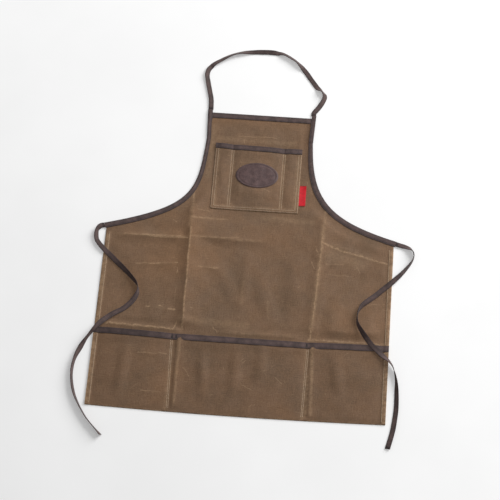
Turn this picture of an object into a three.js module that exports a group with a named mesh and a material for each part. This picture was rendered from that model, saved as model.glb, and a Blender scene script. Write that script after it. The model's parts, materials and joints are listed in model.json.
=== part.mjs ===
// Waxed-canvas grill apron, laid front up on a flat surface.
// Millimetres: +X across the apron, +Y from the hem to the neck, +Z up from the surface.
import * as THREE from 'three';

// Materials of the cloth and tape, and the clearance between neighbouring pieces
const CLOTH = 1.2;
const TAPE = 1.0;
const TAPE_WIDTH = 12.7;
const STRAP_THICKNESS = 1.6;
const STRAP_CORNER = 0.5;
const GAP = 0.3;

// Pattern of the body: a straight skirt, an armhole curve on each side and a narrow bib
const SKIRT_HALF_WIDTH = 355.5;
const HEM_Y = 1;
const HEM_BOW = 5;
const HEM_BOW_REACH = 120;
const WAIST_Y = 490;
const ARMHOLE_LOW_PULL = new THREE.Vector2(157, 547);
const ARMHOLE_HIGH_PULL = new THREE.Vector2(142, 601);
const BIB_NARROW = new THREE.Vector2(133, 762);
const BIB_TOP = new THREE.Vector2(136, 828.7);
const BIB_CENTRE_X = 4.5;
const BIB_CENTRE_REACH = 110;
const BIB_SWAY = 4;
const BIB_SWAY_PEAK = 70;
const BIB_SWAY_END = 230;
const SIDE_HEM = 12;
const SIDE_HEM_STEP = 1.5;
const HEM_LINE_SLACK = 0.1;
const SIDE_HEM_TOP_Y = 466;
const SIDE_HEM_FADE = 12;

// Cloth along a bound edge is held up by the tape that is folded under it
const EDGE_LIFT = TAPE + GAP;
const EDGE_LIFT_FULL = 20;
const EDGE_LIFT_END = 46;

// Lower pocket across the skirt, sewn into the side hems and along two dividers
const LOWER_MOUTH_Y = 201.7;
const LOWER_HEM_OUT = 2.5;
const LOWER_HEM_WALL = 1.0;
const LOWER_FOLD_GAP = 0.6;
const LOWER_DIVIDERS = [-163, 160];
const LOWER_RISE = 110;
const MOUTH_LIFT_START = 40;
const MOUTH_LIFT_FULL = 18;

// Chest pocket with a wide middle and a pen slot on each side
const CHEST_CENTRE_X = 4.5;
const CHEST_HALF_WIDTH = 109.6;
const CHEST_BOTTOM_Y = 549;
const CHEST_MOUTH_Y = 736;
const CHEST_SEAM = 6;
const CHEST_DIVIDER = 65;
const CHEST_RISE = 70;
const PUFF_SHARPNESS = 0.75;

// Leather patch on the chest pocket and the tag in the pocket's side seam
const PATCH_CENTRE = new THREE.Vector2(5, 649);
const PATCH_HALF_WIDTH = 53.5;
const PATCH_HALF_HEIGHT = 36;
const PATCH_THICKNESS = 1.8;
const PATCH_BEVEL = 0.6;
const PATCH_GAP = 0.5;
const PATCH_SIDES = 36;
const PATCH_RINGS = [0.35, 0.7];
const TAG_OUT = 16.5;
const TAG_BOTTOM_Y = 571.5;
const TAG_TOP_Y = 629.5;
const TAG_THICKNESS = 1.0;
const TAG_TIP_LIFT = 1.2;

// Widths that show of the folded tapes; an armhole's runs a little past the cloth at both of its ends
const LOWER_BAND = 18;
const CHEST_BAND = 15.5;
const BIB_BAND = 16;
const ARMHOLE_BAND = { waist: 15.5, bib: 11.5 };
const BINDING_PAST_WAIST = 6.5;
const BINDING_PAST_BIB = 9;
const BINDING_ROUND = 0.6;

// Ridges that folding has left in the body: each runs from (ax, ay) to (bx, by)
const CREASE_SHARPNESS = 1.5;
const BODY_CREASES = [
  { name: 'left_fold', ax: -146.6, ay: 552, bx: -142.5, by: 214, height: 5.6, reach: 26, fade: 30 },
  { name: 'right_fold', ax: 186, ay: 600, bx: 168, by: 214, height: 5.6, reach: 26, fade: 40 },
  { name: 'waist_left', ax: -338, ay: 465, bx: -140, by: 466, height: 4.0, reach: 24, fade: 40 },
  { name: 'waist_middle', ax: -170, ay: 467, bx: 60, by: 463, height: 3.2, reach: 24, fade: 60 },
  { name: 'waist_right', ax: 165, ay: 482, bx: 346, by: 431, height: 4.0, reach: 26, fade: 40 },
  { name: 'second_left', ax: -252, ay: 384, bx: -160, by: 391, height: 2.8, reach: 20, fade: 25 },
  { name: 'second_middle', ax: -140, ay: 384, bx: -50, by: 388, height: 2.4, reach: 20, fade: 30 },
  { name: 'third_left', ax: -246, ay: 269, bx: -160, by: 266, height: 2.2, reach: 16, fade: 25 },
  { name: 'bib_fold', ax: -60, ay: 767, bx: 60, by: 765, height: 2.4, reach: 14, fade: 40 },
];

// Compartments of the pockets: each is sewn down at both sides and stands up by height between them
const LOWER_COMPARTMENTS = [
  { left: -SKIRT_HALF_WIDTH + SIDE_HEM, right: LOWER_DIVIDERS[0], height: 5.4 },
  { left: LOWER_DIVIDERS[0], right: LOWER_DIVIDERS[1], height: 5.8 },
  { left: LOWER_DIVIDERS[1], right: SKIRT_HALF_WIDTH - SIDE_HEM, height: 5.4 },
];
const CHEST_COMPARTMENTS = [
  { left: -CHEST_HALF_WIDTH + CHEST_SEAM, right: -CHEST_DIVIDER, height: 1.6 },
  { left: -CHEST_DIVIDER, right: CHEST_DIVIDER, height: 5.4 },
  { left: CHEST_DIVIDER, right: CHEST_HALF_WIDTH - CHEST_SEAM, height: 1.6 },
];

// Routes of the tapes: x and y of the middle, z of what lies under it, and roll from flat in degrees; past a
// roll of 90 the tape has turned over
const LEFT_TIE_ROUTE = [
  { x: -360.3, y: 483, under: 1.1, roll: 0 },
  { x: -368, y: 480, under: 0.8, roll: 20 },
  { x: -376, y: 470, under: 0.3, roll: 56 },
  { x: -378, y: 454, under: 0, roll: 36 },
  { x: -375, y: 440, under: 0.8, roll: 22 },
  { x: -367, y: 428, under: 2.4, roll: 12 },
  { x: -354, y: 414, under: 3.6, roll: 2 },
  { x: -336, y: 397, under: 3.4, roll: -12 },
  { x: -317, y: 379, under: 2.2, roll: -24 },
  { x: -298, y: 361, under: 2.0, roll: -38 },
  { x: -279, y: 341, under: 1.8, roll: -58 },
  { x: -266, y: 326, under: 1.8, roll: -76 },
  { x: -260, y: 313, under: 1.8, roll: -98 },
  { x: -260, y: 299, under: 1.8, roll: -122 },
  { x: -268, y: 281, under: 1.8, roll: -158 },
  { x: -280, y: 265, under: 1.8, roll: -172 },
  { x: -294, y: 252, under: 1.8, roll: -174 },
  { x: -309, y: 242, under: 2.4, roll: -172 },
  { x: -324, y: 230, under: 3.4, roll: -168 },
  { x: -339, y: 214, under: 6.6, roll: -154 },
  { x: -353, y: 194, under: 7.4, roll: -118 },
  { x: -368, y: 170, under: 5.0, roll: -102 },
  { x: -382, y: 144, under: 1.0, roll: -140 },
  { x: -391, y: 118, under: 0, roll: -114 },
  { x: -395, y: 91, under: 0, roll: -112 },
  { x: -394, y: 67, under: 0, roll: -112 },
  { x: -389, y: 41, under: 0, roll: -118 },
  { x: -381, y: 18, under: 0, roll: -116 },
  { x: -366, y: -10, under: 0, roll: -108 },
  { x: -347, y: -38, under: 0, roll: -106 },
  { x: -325, y: -62, under: 0, roll: -108 },
  { x: -309, y: -78, under: 0, roll: -122 },
];
const RIGHT_TIE_ROUTE = [
  { x: 360.3, y: 483, under: 1.1, roll: 0 },
  { x: 369, y: 480.5, under: 0.9, roll: 5 },
  { x: 381, y: 477.5, under: 0.3, roll: 10 },
  { x: 394, y: 472, under: 0, roll: 32 },
  { x: 403, y: 463, under: 0, roll: 78 },
  { x: 406, y: 450, under: 0, roll: 88 },
  { x: 402, y: 436, under: 0, roll: 84 },
  { x: 392, y: 419, under: 0.5, roll: 72 },
  { x: 377, y: 398, under: 2.2, roll: 56 },
  { x: 363, y: 382, under: 3.4, roll: 36 },
  { x: 350, y: 368, under: 3.6, roll: 24 },
  { x: 334, y: 353, under: 3.0, roll: 14 },
  { x: 319, y: 338, under: 2.2, roll: 14 },
  { x: 301, y: 321, under: 1.8, roll: 30 },
  { x: 288, y: 308, under: 1.8, roll: 48 },
  { x: 279, y: 293, under: 1.8, roll: 74 },
  { x: 275, y: 275, under: 1.8, roll: 94 },
  { x: 277, y: 255, under: 2.2, roll: 108 },
  { x: 287, y: 235, under: 5.5, roll: 128 },
  { x: 300, y: 215, under: 10.4, roll: 150 },
  { x: 313, y: 199, under: 10.8, roll: 166 },
  { x: 328, y: 186, under: 9.2, roll: 178 },
  { x: 342, y: 173, under: 7.0, roll: 194 },
  { x: 354, y: 163, under: 5.4, roll: 222 },
  { x: 365, y: 150, under: 2.6, roll: 246 },
  { x: 371, y: 135, under: 0.3, roll: 266 },
  { x: 376, y: 111, under: 0, roll: 292 },
  { x: 378, y: 87, under: 0, roll: 316 },
  { x: 379, y: 62, under: 0, roll: 326 },
  { x: 379, y: 37, under: 0, roll: 333 },
  { x: 377, y: 13, under: 0, roll: 338 },
  { x: 374, y: -12, under: 0, roll: 342 },
  { x: 369, y: -37, under: 0, roll: 345 },
  { x: 363, y: -62, under: 0, roll: 348 },
];
const NECK_STRAP_ROUTE = [
  { x: -126.9, y: 838.5, under: 1.1, roll: 0 },
  { x: -127.4, y: 852, under: 0.5, roll: -6 },
  { x: -129, y: 870, under: 0, roll: -10 },
  { x: -135, y: 896, under: 0, roll: -12 },
  { x: -141, y: 921, under: 0, roll: -14 },
  { x: -145, y: 942, under: 0, roll: -24 },
  { x: -142, y: 960, under: 0, roll: -16 },
  { x: -131, y: 976, under: 0, roll: 16 },
  { x: -114, y: 989, under: 0, roll: 24 },
  { x: -90, y: 1005, under: 0, roll: 38 },
  { x: -69, y: 1014, under: 0, roll: 38 },
  { x: -38, y: 1021, under: 0, roll: 4 },
  { x: -6, y: 1023, under: 0, roll: -16 },
  { x: 26, y: 1023, under: 0, roll: -14 },
  { x: 47, y: 1020, under: 0, roll: 32 },
  { x: 69, y: 1008, under: 0, roll: 38 },
  { x: 86, y: 995, under: 0, roll: 44 },
  { x: 106, y: 973, under: 0, roll: 0 },
  { x: 123, y: 949, under: 0, roll: 0 },
  { x: 141, y: 924, under: 0, roll: 2 },
  { x: 154, y: 911, under: 0, roll: 56 },
  { x: 161, y: 900, under: 0, roll: 30 },
  { x: 159, y: 887, under: 0, roll: 28 },
  { x: 150, y: 868, under: 0, roll: 15 },
  { x: 141, y: 854, under: 0.4, roll: 8 },
  { x: 136.8, y: 847, under: 0.9, roll: 2 },
  { x: 135.9, y: 838.5, under: 1.1, roll: 0 },
];
const TIE_STEPS = 44;
const NECK_STRAP_STEPS = 48;

// Grid of the body: skirt rows, steps on the armhole, rows on the bib, and columns at the hem and waist
const SKIRT_ROWS = [HEM_Y, 60, 150, 200, 226, 250, 267, 284, 330, 364, 386, 408, 432, 449, 465, 479];
const ARMHOLE_STEPS = 14;
const BIB_STEPS = 5;
const FOLD_COLUMNS = [-26, -9, 0, 9, 26];
const LEFT_FOLD = { hem: -139.9, waist: -145.9 };
const RIGHT_FOLD = { hem: 158, waist: 180.9 };
const HEM_LINE_X = SKIRT_HALF_WIDTH - SIDE_HEM;
const SIDE_COLUMNS = [SKIRT_HALF_WIDTH, HEM_LINE_X, HEM_LINE_X - SIDE_HEM_STEP, 312, 262, 224];
const MIDDLE_COLUMNS = [-90, -40, 10, 60, 110];

// Grid of the pockets
const LOWER_ROWS = [20, 50, 80, 110, 150, LOWER_MOUTH_Y - MOUTH_LIFT_START, LOWER_MOUTH_Y - MOUTH_LIFT_FULL];
const SIDE_COMPARTMENT_STEPS = 8;
const MIDDLE_COMPARTMENT_STEPS = 12;
const PEN_SLOT_STEPS = 2;
const CHEST_ROWS = [CHEST_SEAM, 25, 50, CHEST_SEAM + CHEST_RISE, 115, 150, 173];
const TAG_ROWS = 5;
const TAG_COLUMNS = 4;

const canvas = new THREE.MeshStandardMaterial({ color: 0x765e48, roughness: 0.8, metalness: 0 });
const tape = new THREE.MeshStandardMaterial({ color: 0x4b4242, roughness: 0.85, metalness: 0 });
const leather = new THREE.MeshStandardMaterial({ color: 0x5c4946, roughness: 0.6, metalness: 0 });
const tagCloth = new THREE.MeshStandardMaterial({ color: 0xbe2832, roughness: 0.7, metalness: 0 });

const { clamp, lerp, smoothstep, degToRad } = THREE.MathUtils;

// The body's outline and heights

const armholeCurve = new THREE.CubicBezierCurve(
  new THREE.Vector2(SKIRT_HALF_WIDTH, WAIST_Y), ARMHOLE_LOW_PULL, ARMHOLE_HIGH_PULL, BIB_NARROW);
const armholePoints = armholeCurve.getPoints(ARMHOLE_STEPS);
const bibPoints = new THREE.LineCurve(BIB_NARROW, BIB_TOP).getPoints(BIB_STEPS).slice(1);
const boundSide = [...armholePoints, ...bibPoints];

function bibCentre(y) {
  const peak = WAIST_Y + BIB_SWAY_PEAK;
  const sway = smoothstep(y, WAIST_Y, peak) - smoothstep(y, peak, WAIST_Y + BIB_SWAY_END);
  return BIB_CENTRE_X * smoothstep(y, WAIST_Y, WAIST_Y + BIB_CENTRE_REACH) + BIB_SWAY * sway;
}

function sidePoint(point, side) {
  return new THREE.Vector2(bibCentre(point.y) + side * point.x, point.y);
}

const leftSide = boundSide.map((point) => sidePoint(point, -1));
const rightSide = boundSide.map((point) => sidePoint(point, 1));
const boundOutline = [...leftSide, ...rightSide.toReversed()];

function distanceToSegment(x, y, a, b) {
  const line = new THREE.Line3(new THREE.Vector3(a.x, a.y, 0), new THREE.Vector3(b.x, b.y, 0));
  const point = new THREE.Vector3(x, y, 0);
  const nearest = line.closestPointToPoint(point, true, new THREE.Vector3());
  return nearest.distanceTo(point);
}

function distanceToBoundEdge(x, y) {
  const gaps = boundOutline.slice(1).map((b, i) => distanceToSegment(x, y, boundOutline[i], b));
  return Math.min(...gaps);
}

function creaseHeight(crease, x, y) {
  const along = new THREE.Vector2(crease.bx - crease.ax, crease.by - crease.ay);
  const length = along.length();
  along.divideScalar(length);
  const offset = new THREE.Vector2(x - crease.ax, y - crease.ay);
  const run = offset.dot(along);
  const side = Math.abs(offset.cross(along));
  const ends = smoothstep(run, 0, crease.fade) * smoothstep(length - run, 0, crease.fade);
  return crease.height * ends * Math.max(0, 1 - side / crease.reach) ** CREASE_SHARPNESS;
}

function bodyBottom(x, y) {
  const bound = 1 - smoothstep(distanceToBoundEdge(x, y), EDGE_LIFT_FULL, EDGE_LIFT_END);
  const ridge = Math.max(...BODY_CREASES.map((crease) => creaseHeight(crease, x, y)));
  return EDGE_LIFT * bound + ridge * (1 - bound);
}

function sideHem(x, y) {
  const inBand = Math.abs(x) > SKIRT_HALF_WIDTH - SIDE_HEM - HEM_LINE_SLACK;
  const fade = 1 - smoothstep(y, SIDE_HEM_TOP_Y - SIDE_HEM_FADE, SIDE_HEM_TOP_Y);
  return inBand ? CLOTH * fade : 0;
}

function bodyTop(x, y) {
  return bodyBottom(x, y) + CLOTH + sideHem(x, y);
}

function hemBow(x, y) {
  const across = 1 - (x / SKIRT_HALF_WIDTH) ** 2;
  return -HEM_BOW * across * clamp(1 - y / HEM_BOW_REACH, 0, 1);
}

// The pockets' heights above the body

function puff(compartments, x) {
  const found = compartments.find((part) => x > part.left && x < part.right);
  if (!found) return 0;
  const share = (x - found.left) / (found.right - found.left);
  return found.height * Math.sin(Math.PI * share) ** PUFF_SHARPNESS;
}

function rise(distance, reach) {
  return Math.sin(Math.PI / 2 * clamp(distance / reach, 0, 1));
}

function mouthLift(belowMouth) {
  return EDGE_LIFT * (1 - smoothstep(belowMouth, MOUTH_LIFT_FULL, MOUTH_LIFT_START));
}

function lowerPocketBottom(x, y) {
  const onBody = CLOTH + sideHem(x, y) + GAP;
  return onBody + puff(LOWER_COMPARTMENTS, x) * rise(y, LOWER_RISE) + mouthLift(LOWER_MOUTH_Y - y);
}

function chestPocketBottom(x, y) {
  const aboveSeam = y - CHEST_BOTTOM_Y - CHEST_SEAM;
  const inside = puff(CHEST_COMPARTMENTS, x - CHEST_CENTRE_X) * rise(aboveSeam, CHEST_RISE);
  return bodyTop(x, y) + GAP + inside + mouthLift(CHEST_MOUTH_Y - y);
}

// Mesh makers

function closedGeometry(points, triangles) {
  const corners = triangles.map((triangle) => triangle.map((index) => points[index]));
  const volume = corners.reduce((sum, [a, b, c]) => sum + a.dot(b.clone().cross(c)), 0);
  const outward = volume > 0 ? triangles : triangles.map(([a, b, c]) => [a, c, b]);
  const geometry = new THREE.BufferGeometry().setFromPoints(points);
  geometry.setIndex(outward.flat());
  geometry.computeVertexNormals();
  return geometry;
}

// A sheet over a grid of places, closed between its bottom and top heights
function sheetGeometry(places, bottom, top) {
  const rows = places.length;
  const columns = places[0].length;
  const low = places.flat().map(({ x, y, ...rest }) => new THREE.Vector3(x, y, bottom(x, y, rest)));
  const high = places.flat().map(({ x, y, ...rest }) => new THREE.Vector3(x, y, top(x, y, rest)));
  const count = low.length;
  const triangles = [];
  const quad = (a, b, c, d) => triangles.push([a, b, c], [a, c, d]);
  for (let row = 0; row + 1 < rows; row += 1) {
    for (let column = 0; column + 1 < columns; column += 1) {
      const a = row * columns + column;
      const b = a + 1;
      const c = b + columns;
      const d = a + columns;
      quad(count + a, count + b, count + c, count + d);
      quad(d, c, b, a);
    }
  }
  const front = Array.from({ length: columns }, (_, column) => column);
  const right = Array.from({ length: rows }, (_, row) => row * columns + columns - 1);
  const back = front.map((column) => (rows - 1) * columns + column).reverse();
  const left = Array.from({ length: rows }, (_, row) => row * columns).reverse();
  for (const edge of [front, right, back, left]) {
    for (let i = 0; i + 1 < edge.length; i += 1) {
      quad(edge[i], edge[i + 1], count + edge[i + 1], count + edge[i]);
    }
  }
  return closedGeometry([...low, ...high], triangles);
}

// A solid through rings of equal length, closed at both ends by the given flat outline
function ringGeometry(rings, capOutline) {
  const sides = rings[0].length;
  const triangles = [];
  for (let ring = 0; ring + 1 < rings.length; ring += 1) {
    for (let side = 0; side < sides; side += 1) {
      const a = ring * sides + side;
      const b = ring * sides + (side + 1) % sides;
      triangles.push([a, b, b + sides], [a, b + sides, a + sides]);
    }
  }
  const last = (rings.length - 1) * sides;
  const clockwise = THREE.ShapeUtils.isClockWise(capOutline);
  for (const face of THREE.ShapeUtils.triangulateShape(capOutline, [])) {
    const [a, b, c] = clockwise ? face.toReversed() : face;
    triangles.push([c, b, a], [last + a, last + b, last + c]);
  }
  return closedGeometry(rings.flat(), triangles);
}

// Tape folded over a cloth edge: each station has the edge's place, the way in, the cloth's two heights and
// the tape's width
function bindingGeometry(stations) {
  const outer = -GAP - TAPE;
  const profile = (bottom, top, width) => [
    new THREE.Vector2(outer + width, bottom - GAP - TAPE),
    new THREE.Vector2(outer + BINDING_ROUND, bottom - GAP - TAPE),
    new THREE.Vector2(outer, bottom - GAP - TAPE + BINDING_ROUND),
    new THREE.Vector2(outer, top + GAP + TAPE - BINDING_ROUND),
    new THREE.Vector2(outer + BINDING_ROUND, top + GAP + TAPE),
    new THREE.Vector2(outer + width, top + GAP + TAPE),
    new THREE.Vector2(outer + width, top + GAP),
    new THREE.Vector2(-GAP, top + GAP),
    new THREE.Vector2(-GAP, bottom - GAP),
    new THREE.Vector2(outer + width, bottom - GAP),
  ];
  const rings = stations.map(({ edge, inward, bottom, top, width }) => profile(bottom, top, width).map(
    (point) => new THREE.Vector3(edge.x + inward.x * point.x, edge.y + inward.y * point.x, point.y)));
  return ringGeometry(rings, profile(0, CLOTH, TAPE_WIDTH));
}

// Flat tape along a route: its lower edge stands on what is under it, and its faces turn by the roll
function strapGeometry(route, steps) {
  const halfWidth = TAPE_WIDTH / 2;
  const halfThickness = STRAP_THICKNESS / 2;
  const outline = [[1, -1], [1, 1], [-1, 1], [-1, -1]].flatMap(([across, up], i) => {
    const side = new THREE.Vector2(across * halfWidth, up * (halfThickness - STRAP_CORNER));
    const face = new THREE.Vector2(across * (halfWidth - STRAP_CORNER), up * halfThickness);
    return i % 2 === 0 ? [face, side] : [side, face];
  });
  const curve = new THREE.CatmullRomCurve3(route.map(({ x, y, under }) => new THREE.Vector3(x, y, under)));
  const rings = [];
  for (let step = 0; step <= steps; step += 1) {
    const share = step / steps;
    const place = share * (route.length - 1);
    const before = Math.min(Math.floor(place), route.length - 2);
    const angle = degToRad(lerp(route[before].roll, route[before + 1].roll, place - before));
    const standing = halfWidth * Math.abs(Math.sin(angle)) + halfThickness * Math.abs(Math.cos(angle));
    const middle = curve.getPoint(share);
    middle.setZ(Math.max(middle.z, 0) + standing);
    const ahead = curve.getTangent(share).setZ(0).normalize();
    const level = new THREE.Vector3(ahead.y, -ahead.x, 0);
    const across = level.clone().multiplyScalar(Math.cos(angle)).setZ(Math.sin(angle));
    const up = across.clone().cross(ahead);
    rings.push(outline.map(
      (point) => middle.clone().addScaledVector(across, point.x).addScaledVector(up, point.y)));
  }
  return ringGeometry(rings, outline);
}

// The pieces

function bodyColumns() {
  const sides = SIDE_COLUMNS.map((x) => ({ hem: x, waist: x }));
  const folds = [LEFT_FOLD, RIGHT_FOLD].flatMap((fold) => FOLD_COLUMNS.map(
    (offset) => ({ hem: fold.hem + offset, waist: fold.waist + offset })));
  const middle = MIDDLE_COLUMNS.map((x) => ({ hem: x, waist: x }));
  const mirrored = sides.map(({ hem, waist }) => ({ hem: -hem, waist: -waist }));
  return [...mirrored, ...folds, ...middle, ...sides].sort((a, b) => a.waist - b.waist);
}

function bodyGeometry() {
  const columns = bodyColumns();
  const skirt = SKIRT_ROWS.map((y) => columns.map(({ hem, waist }) => {
    const x = lerp(hem, waist, y / WAIST_Y);
    return { x, y: y + hemBow(x, y) };
  }));
  const upper = boundSide.map((point) => columns.map(({ waist }) => (
    { x: bibCentre(point.y) + point.x * waist / SKIRT_HALF_WIDTH, y: point.y })));
  return sheetGeometry([...skirt, ...upper], bodyBottom, bodyTop);
}

function compartmentColumns(compartments, stepCounts) {
  return compartments.flatMap(({ left, right }, i) => Array.from(
    { length: stepCounts[i] }, (_, step) => lerp(left, right, step / stepCounts[i])));
}

function lowerPocketColumns() {
  const inner = SKIRT_HALF_WIDTH - SIDE_HEM;
  const steps = [SIDE_COMPARTMENT_STEPS, MIDDLE_COMPARTMENT_STEPS, SIDE_COMPARTMENT_STEPS];
  return [-SKIRT_HALF_WIDTH, ...compartmentColumns(LOWER_COMPARTMENTS, steps), inner, SKIRT_HALF_WIDTH];
}

function lowerPocketGeometry() {
  const wallOut = HEM_Y - LOWER_HEM_OUT;
  const wallIn = wallOut + LOWER_HEM_WALL;
  const foldTop = HEM_Y - LOWER_FOLD_GAP;
  const rows = [wallOut, wallIn, foldTop, ...LOWER_ROWS, LOWER_MOUTH_Y];
  const places = rows.map((y, row) => lowerPocketColumns().map(
    (x) => ({ x, y: y + hemBow(x, y), flatY: y, isWall: row < 2 })));
  const bottom = (x, y, { flatY, isWall }) => (isWall ? 0 : lowerPocketBottom(x, flatY));
  const top = (x, y, { flatY }) => lowerPocketBottom(x, flatY) + CLOTH;
  return sheetGeometry(places, bottom, top);
}

function mouthBinding(columns, mouthY, bottom, width) {
  return bindingGeometry(columns.map((x) => ({
    edge: new THREE.Vector2(x, mouthY),
    inward: new THREE.Vector2(0, -1),
    bottom: bottom(x, mouthY),
    top: bottom(x, mouthY) + CLOTH,
    width,
  })));
}

function lowerPocketMouth() {
  return mouthBinding(lowerPocketColumns(), LOWER_MOUTH_Y, lowerPocketBottom, LOWER_BAND);
}

function chestPocketColumns() {
  const steps = [PEN_SLOT_STEPS, MIDDLE_COMPARTMENT_STEPS, PEN_SLOT_STEPS];
  const seam = CHEST_HALF_WIDTH - CHEST_SEAM;
  const inside = compartmentColumns(CHEST_COMPARTMENTS, steps);
  return [-CHEST_HALF_WIDTH, ...inside, seam, CHEST_HALF_WIDTH].map((x) => CHEST_CENTRE_X + x);
}

function chestPocketGeometry() {
  const rows = [CHEST_BOTTOM_Y, ...CHEST_ROWS.map((y) => CHEST_BOTTOM_Y + y), CHEST_MOUTH_Y];
  const places = rows.map((y) => chestPocketColumns().map((x) => ({ x, y })));
  return sheetGeometry(places, chestPocketBottom, (x, y) => chestPocketBottom(x, y) + CLOTH);
}

function chestPocketMouth() {
  return mouthBinding(chestPocketColumns(), CHEST_MOUTH_Y, chestPocketBottom, CHEST_BAND);
}

function patchGeometry() {
  const height = (x, y) => chestPocketBottom(x, y) + CLOTH + PATCH_GAP;
  const oval = (share) => Array.from({ length: PATCH_SIDES }, (_, side) => {
    const angle = 2 * Math.PI * side / PATCH_SIDES;
    const x = PATCH_CENTRE.x + share * PATCH_HALF_WIDTH * Math.cos(angle);
    return new THREE.Vector2(x, PATCH_CENTRE.y + share * PATCH_HALF_HEIGHT * Math.sin(angle));
  });
  const edge = 1 - PATCH_BEVEL / PATCH_HALF_HEIGHT;
  const levels = [
    ...PATCH_RINGS.map((share) => ({ share, above: 0 })),
    { share: 1, above: 0 },
    { share: 1, above: PATCH_THICKNESS - PATCH_BEVEL },
    { share: edge, above: PATCH_THICKNESS },
    ...PATCH_RINGS.map((share) => ({ share, above: PATCH_THICKNESS })).reverse(),
  ];
  const rings = levels.map(({ share, above }) => oval(share).map(
    ({ x, y }) => new THREE.Vector3(x, y, height(x, y) + above)));
  return ringGeometry(rings, oval(1));
}

function tagGeometry() {
  const seamX = CHEST_CENTRE_X + CHEST_HALF_WIDTH + GAP;
  const places = Array.from({ length: TAG_ROWS + 1 }, (_, row) => Array.from(
    { length: TAG_COLUMNS + 1 }, (_, column) => ({
      x: seamX + TAG_OUT * column / TAG_COLUMNS,
      y: lerp(TAG_BOTTOM_Y, TAG_TOP_Y, row / TAG_ROWS),
    })));
  const bottom = (x, y) => bodyTop(x, y) + GAP + TAG_TIP_LIFT * smoothstep(x, seamX, seamX + TAG_OUT);
  return sheetGeometry(places, bottom, (x, y) => bottom(x, y) + TAG_THICKNESS);
}

// Stations along one armhole from below the waist to above the bib's top, mitred at each corner
function armholeBinding(points, side) {
  const first = points[0].clone().sub(points[1]).setLength(BINDING_PAST_WAIST).add(points[0]);
  const top = points.at(-1);
  const last = top.clone().sub(points.at(-2)).setLength(BINDING_PAST_BIB).add(top);
  const line = [first, ...points, last];
  const inwardOf = (a, b) => {
    const along = b.clone().sub(a).normalize();
    return new THREE.Vector2(-along.y, along.x).multiplyScalar(side);
  };
  return bindingGeometry(line.map((edge, i) => {
    const before = inwardOf(line[Math.max(i - 1, 0)], line[Math.max(i, 1)]);
    const after = inwardOf(line[Math.min(i, line.length - 2)], line[Math.min(i + 1, line.length - 1)]);
    const inward = before.clone().add(after).normalize();
    inward.divideScalar(inward.dot(after));
    const width = lerp(ARMHOLE_BAND.waist, ARMHOLE_BAND.bib, smoothstep(edge.y, WAIST_Y, BIB_NARROW.y));
    return { edge, inward, bottom: EDGE_LIFT, top: EDGE_LIFT + CLOTH, width };
  }));
}

function bibBinding() {
  const flare = BIB_BAND * (BIB_TOP.x - BIB_NARROW.x) / (BIB_TOP.y - BIB_NARROW.y);
  const armholeTapeInner = BIB_TOP.x - flare - (ARMHOLE_BAND.bib - TAPE - GAP);
  const half = armholeTapeInner - GAP;
  return bindingGeometry([-half, half].map((x) => ({
    edge: new THREE.Vector2(BIB_CENTRE_X + x, BIB_TOP.y),
    inward: new THREE.Vector2(0, -1),
    bottom: EDGE_LIFT,
    top: EDGE_LIFT + CLOTH,
    width: BIB_BAND,
  })));
}

function piece(name, geometry, material) {
  const mesh = new THREE.Mesh(geometry, material);
  mesh.name = name;
  return mesh;
}

const sewnPieces = [
  piece('apron_body', bodyGeometry(), canvas),
  piece('lower_pocket', lowerPocketGeometry(), canvas),
  piece('lower_pocket_binding', lowerPocketMouth(), tape),
  piece('chest_pocket', chestPocketGeometry(), canvas),
  piece('chest_pocket_binding', chestPocketMouth(), tape),
  piece('leather_patch', patchGeometry(), leather),
  piece('side_tag', tagGeometry(), tagCloth),
  piece('bib_binding', bibBinding(), tape),
  piece('left_armhole_binding', armholeBinding(leftSide, -1), tape),
  piece('right_armhole_binding', armholeBinding(rightSide, 1), tape),
  piece('neck_strap', strapGeometry(NECK_STRAP_ROUTE, NECK_STRAP_STEPS), tape),
];
const tiePieces = [
  piece('left_waist_tie', strapGeometry(LEFT_TIE_ROUTE, TIE_STEPS), tape),
  piece('right_waist_tie', strapGeometry(RIGHT_TIE_ROUTE, TIE_STEPS), tape),
];

// The origin is under the middle of the sewn pieces' box, on the surface
const apron = new THREE.Group();
apron.name = 'grill_apron';
apron.add(...sewnPieces, ...tiePieces);
const box = new THREE.Box3();
sewnPieces.forEach((mesh) => box.expandByObject(mesh));
const middle = box.getCenter(new THREE.Vector3());
apron.position.set(-middle.x, -middle.y, -box.min.z);

export default apron;
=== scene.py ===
"""Grill apron of waxed canvas bound in dark tape, laid front up on a pale surface.

Lengths are metres. Places on the apron are measured from the middle of its hem: x across the front,
y up to the neck and z from the surface. HEM_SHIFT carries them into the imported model's frame.
"""

import json
import logging
import math
from dataclasses import dataclass, field
from enum import Enum
from functools import cached_property
from typing import Callable, Sequence

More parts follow.
